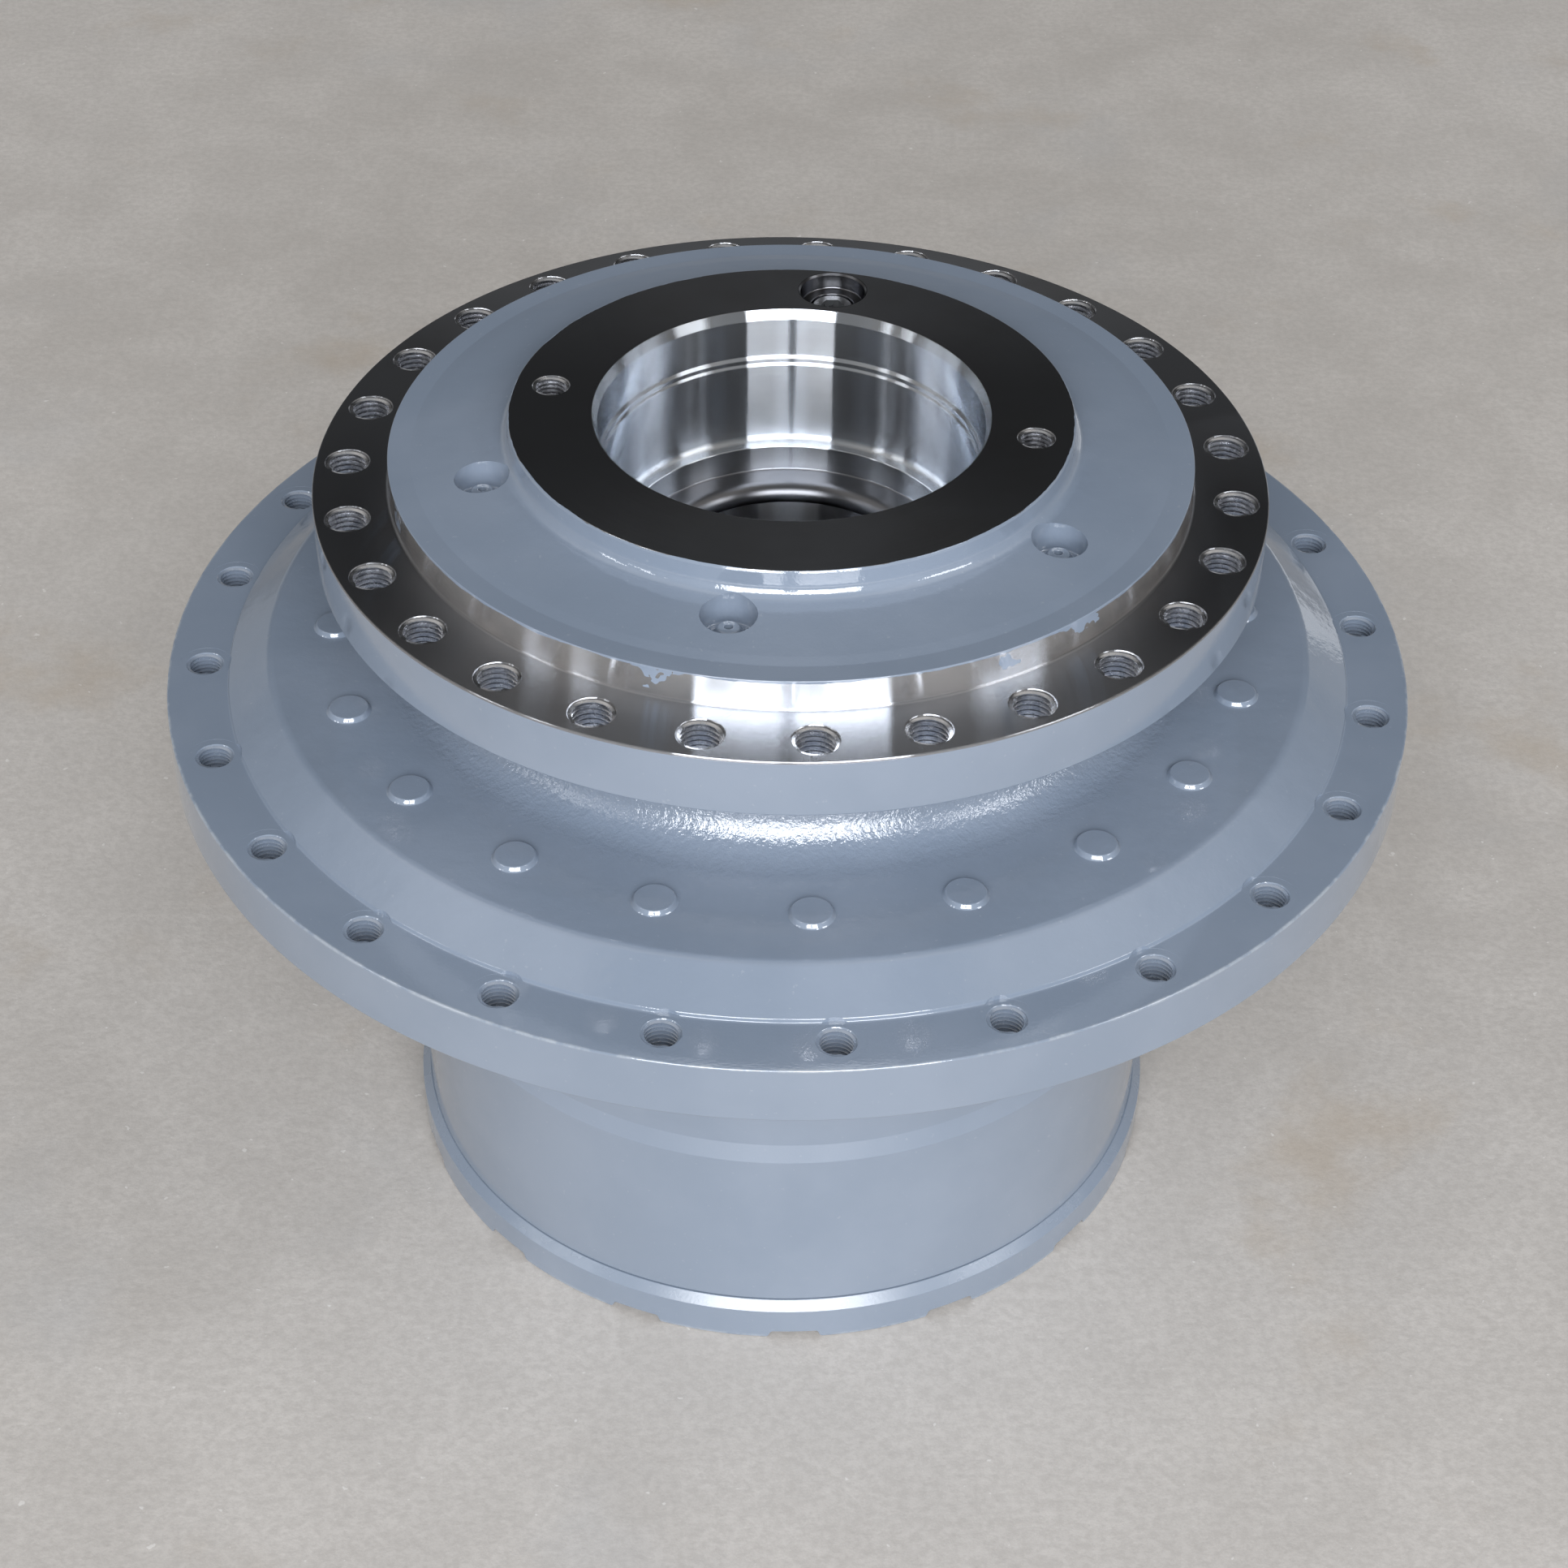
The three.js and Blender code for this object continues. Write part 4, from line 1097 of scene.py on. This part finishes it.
def cover_material():
    material, g = new_material("cover_paint")
    chamfer = g.between(g.z, 0.0212, 0.0266)
    rim = g.math("MULTIPLY", g.ramp(g.r, 0.2235, 0.2255), g.ramp(g.z, 0.003, 0.0))
    hidden = g.math("MULTIPLY", g.math("LESS_THAN", g.r, 0.197), g.math("GREATER_THAN", g.z, 0.015))
    seats = g.math("MULTIPLY", g.between(g.r, 0.1950, 0.2220), g.between(g.z, 0.0051, 0.0215, 0.0001))
    rubbed = g.math("MAXIMUM", rim, g.math("MULTIPLY", chamfer, g.ramp(g.noise(16.0, 5.0, 0.7), 0.50, 0.62, 0.0, 0.2)))
    paint = paint_shader(g, wear=rubbed, matt=chamfer)
    g.done(g.mix_shader(g.math("MAXIMUM", hidden, seats), paint, steel_shader(g, 0.35)))
    return material


def metal(name, colour, roughness, scale=60.0, cast=0.0):
    """A plain metal finish with stains, uneven polish and fine scratches, or a cast skin."""
    material, g = new_material(name)
    tone = g.ramp(g.noise(scale, 4.0), 0.3, 0.7)
    base = g.mix(tone, tuple(c * 0.78 for c in colour[:3]) + (1,), colour)
    stains = g.ramp(g.noise(scale * 0.4, 5.0, 0.7), 0.58, 0.72, 0.0, 0.5)
    base = g.mix(stains, base, tuple(c * k for c, k in zip(colour, (0.62, 0.55, 0.48))) + (1,))
    rough = g.ramp(g.noise(scale * 3, 3.0), 0.3, 0.7, roughness - 0.06, roughness + 0.1)
    normal = g.bump(g.noise(700.0, 2.0), 0.00004)
    if cast:
        normal = g.bump(g.noise(260.0, 4.0, 0.6), cast, 0.8, normal)
    g.done(g.shader(Base_Color=base, Metallic=1.0, Roughness=rough, Normal=normal))
    return material


def rubber_material():
    material, g = new_material("seal_rubber")
    base = g.mix(g.noise(90.0, 3.0), (0.012, 0.012, 0.013, 1), (0.03, 0.03, 0.031, 1))
    g.done(g.shader(Base_Color=base, Roughness=g.ramp(g.noise(200.0), 0.3, 0.7, 0.5, 0.7),
                    Normal=g.bump(g.noise(900.0), 0.00005)))
    return material


def concrete_material():
    material, g = new_material("pale_concrete")
    clouds = g.ramp(g.noise(1.6, 5.0, 0.6), 0.30, 0.70)
    blotches = g.ramp(g.noise(9.0, 7.0, 0.72), 0.38, 0.66)
    grain = g.ramp(g.noise(150.0, 4.0, 0.75), 0.35, 0.65)
    specks = g.ramp(g.noise(120.0, 2.0, 0.6), 0.71, 0.75)
    base = g.mix(clouds, FLOOR_DARK, FLOOR_LIGHT)
    base = g.mix(g.math("MULTIPLY", blotches, 0.55), base, tuple(c * 1.14 for c in FLOOR_LIGHT[:3]) + (1,))
    base = g.mix(g.math("MULTIPLY", grain, 0.40), base, tuple(c * 0.80 for c in FLOOR_DARK[:3]) + (1,))
    stains = g.ramp(g.noise(4.2, 5.0, 0.6), 0.56, 0.74)
    base = g.mix(g.math("MULTIPLY", stains, 0.55), base, (0.46, 0.385, 0.30, 1))
    cool = g.ramp(g.noise(2.9, 5.0, 0.6), 0.46, 0.30)
    base = g.mix(g.math("MULTIPLY", cool, 0.35), base, (0.47, 0.47, 0.47, 1))
    base = g.mix(g.math("MULTIPLY", specks, 0.5), base, (0.80, 0.78, 0.75, 1))
    normal = g.bump(g.noise(240.0, 5.0), 0.0004, 0.6)
    rough = g.ramp(clouds, 0.0, 1.0, 0.55, 0.7)
    g.done(g.shader(Base_Color=base, Roughness=rough, Normal=normal, Specular_IOR_Level=0.35))
    return material


# ---------- floor, light and camera ----------

def floor():
    bm = bmesh.new()
    size = 60.0
    outline = [(-size, -size), (size, -size), (size, size), (-size, size)]
    bm.faces.new([bm.verts.new((x, y, -0.0002)) for x, y in outline])
    obj = to_object(bm, "floor")
    obj.data.materials.append(concrete_material())


def area_light(name, azimuth, elevation, distance, width, height, power, colour=(1, 1, 1), aim=(0, 0, 0.35)):
    """A soft box that faces the object. Azimuth 0 is the camera's side, and it grows towards +X."""
    a = math.radians(azimuth - 90)
    e = math.radians(elevation)
    data = bpy.data.lights.new(name, "AREA")
    data.shape = "RECTANGLE"
    data.size = width
    data.size_y = height
    data.energy = power
    data.color = colour
    obj = bpy.data.objects.new(name, data)
    obj.visible_camera = False
    way = Vector((math.cos(e) * math.cos(a), math.cos(e) * math.sin(a), math.sin(e)))
    obj.location = Vector(aim) + way * distance
    obj.rotation_euler = way.to_track_quat("Z", "Y").to_euler()
    bpy.context.scene.collection.objects.link(obj)
    return obj


SKY = dict(top=0.30, front=0.30, left=0.19, right=0.12, high=0.50, back=0.026, low_back=0.36, high_back=0.12)
DAYLIGHT = (0.96, 0.98, 1.02)


def world():
    """A soft studio: pale to the front and the sides, softer above, and dark behind the object."""
    made = bpy.data.worlds.new("studio")
    bpy.context.scene.world = made
    made.use_nodes = True
    tree = made.node_tree
    tree.nodes.clear()
    output = tree.nodes.new("ShaderNodeOutputWorld")
    g = Graph(tree, output)
    way = g.node("ShaderNodeTexCoord").outputs["Generated"]
    x, y, z = g.node("ShaderNodeSeparateXYZ", Vector=way).outputs
    up = g.math("MULTIPLY", g.ramp(z, 0.80, 0.99), SKY["top"])
    front = g.math("MULTIPLY", g.math("MULTIPLY", g.ramp(y, 0.05, -0.55), g.ramp(z, -0.1, 0.15)), SKY["front"])
    level = g.math("SQRT", g.math("SUBTRACT", 1.0, g.math("MULTIPLY", z, z)))
    side = g.ramp(g.math("DIVIDE", g.math("ABSOLUTE", x), level), 0.62, 0.92)
    low_sides = g.ramp(x, -0.2, 0.2, SKY["left"], SKY["right"])
    sides = g.math("MULTIPLY", side, g.blend(g.ramp(z, 0.52, 0.82), low_sides, SKY["high"]))
    low_back = g.math("MULTIPLY", g.math("MULTIPLY", g.ramp(z, 0.38, 0.12), g.ramp(y, 0.2, 0.6)), SKY["low_back"])
    high_back = g.math("MULTIPLY", g.math("MULTIPLY", g.ramp(z, 0.71, 0.80), g.ramp(y, 0.2, 0.4)), SKY["high_back"])
    strength = SKY["back"]
    for part in (up, low_back, high_back, front, sides):
        strength = g.math("MAXIMUM", strength, part)
    colour = g.mix(side, (0.97, 0.985, 1.0, 1), (1.0, 0.96, 0.91, 1))
    back = g.node("ShaderNodeBackground", Color=colour, Strength=strength)
    tree.links.new(back.outputs[0], output.inputs["Surface"])


def window(name, azimuths, elevations, radiance, distance=12.0):
    """A window pane that spans these azimuths and elevations as the object sees it."""
    azimuth, elevation = (sum(span) / 2 for span in (azimuths, elevations))
    width, height = (2 * distance * math.tan(math.radians((span[1] - span[0]) / 2)) for span in (azimuths, elevations))
    area_light(name, azimuth, elevation, distance, width, height, radiance * math.pi * width * height, DAYLIGHT)


def lights():
    window("window_left_pane", (-23.5, -2.4), (11, 46), 8.5)
    window("window_right_pane", (2.8, 26), (11, 46), 8.5)
    window("right_window", (57, 74), (30, 42), 6.0)
    window("left_slot_near", (-60, -57.5), (24, 42), 6.0)
    window("left_slot_far", (-75, -72), (24, 42), 6.0)
    window("back_doorway", (141, 155), (-1.5, 8), 0.75)


CAMERA_PLACE = (-0.0012, -1.4455, 1.3843)
CAMERA_PITCH = math.radians(51.406)
CAMERA_ROLL = math.radians(0.857)


def camera():
    data = bpy.data.cameras.new("camera")
    data.sensor_width = 36
    data.lens = 71.875
    obj = bpy.data.objects.new("camera", data)
    turn = Matrix.Rotation(CAMERA_PITCH, 4, "X") @ Matrix.Rotation(CAMERA_ROLL, 4, "Z")
    obj.matrix_world = Matrix.Translation(CAMERA_PLACE) @ turn
    bpy.context.scene.collection.objects.link(obj)
    bpy.context.scene.camera = obj


hub()
drum()
ring_gear()
end_cover()
cover_screws()
plugs()
ring_gear_bolts()
bearings()
face_seal()
nut_and_lock()
planetary_stages()
floor()
world()
lights()
camera()
bpy.context.scene.view_settings.view_transform = "Standard"
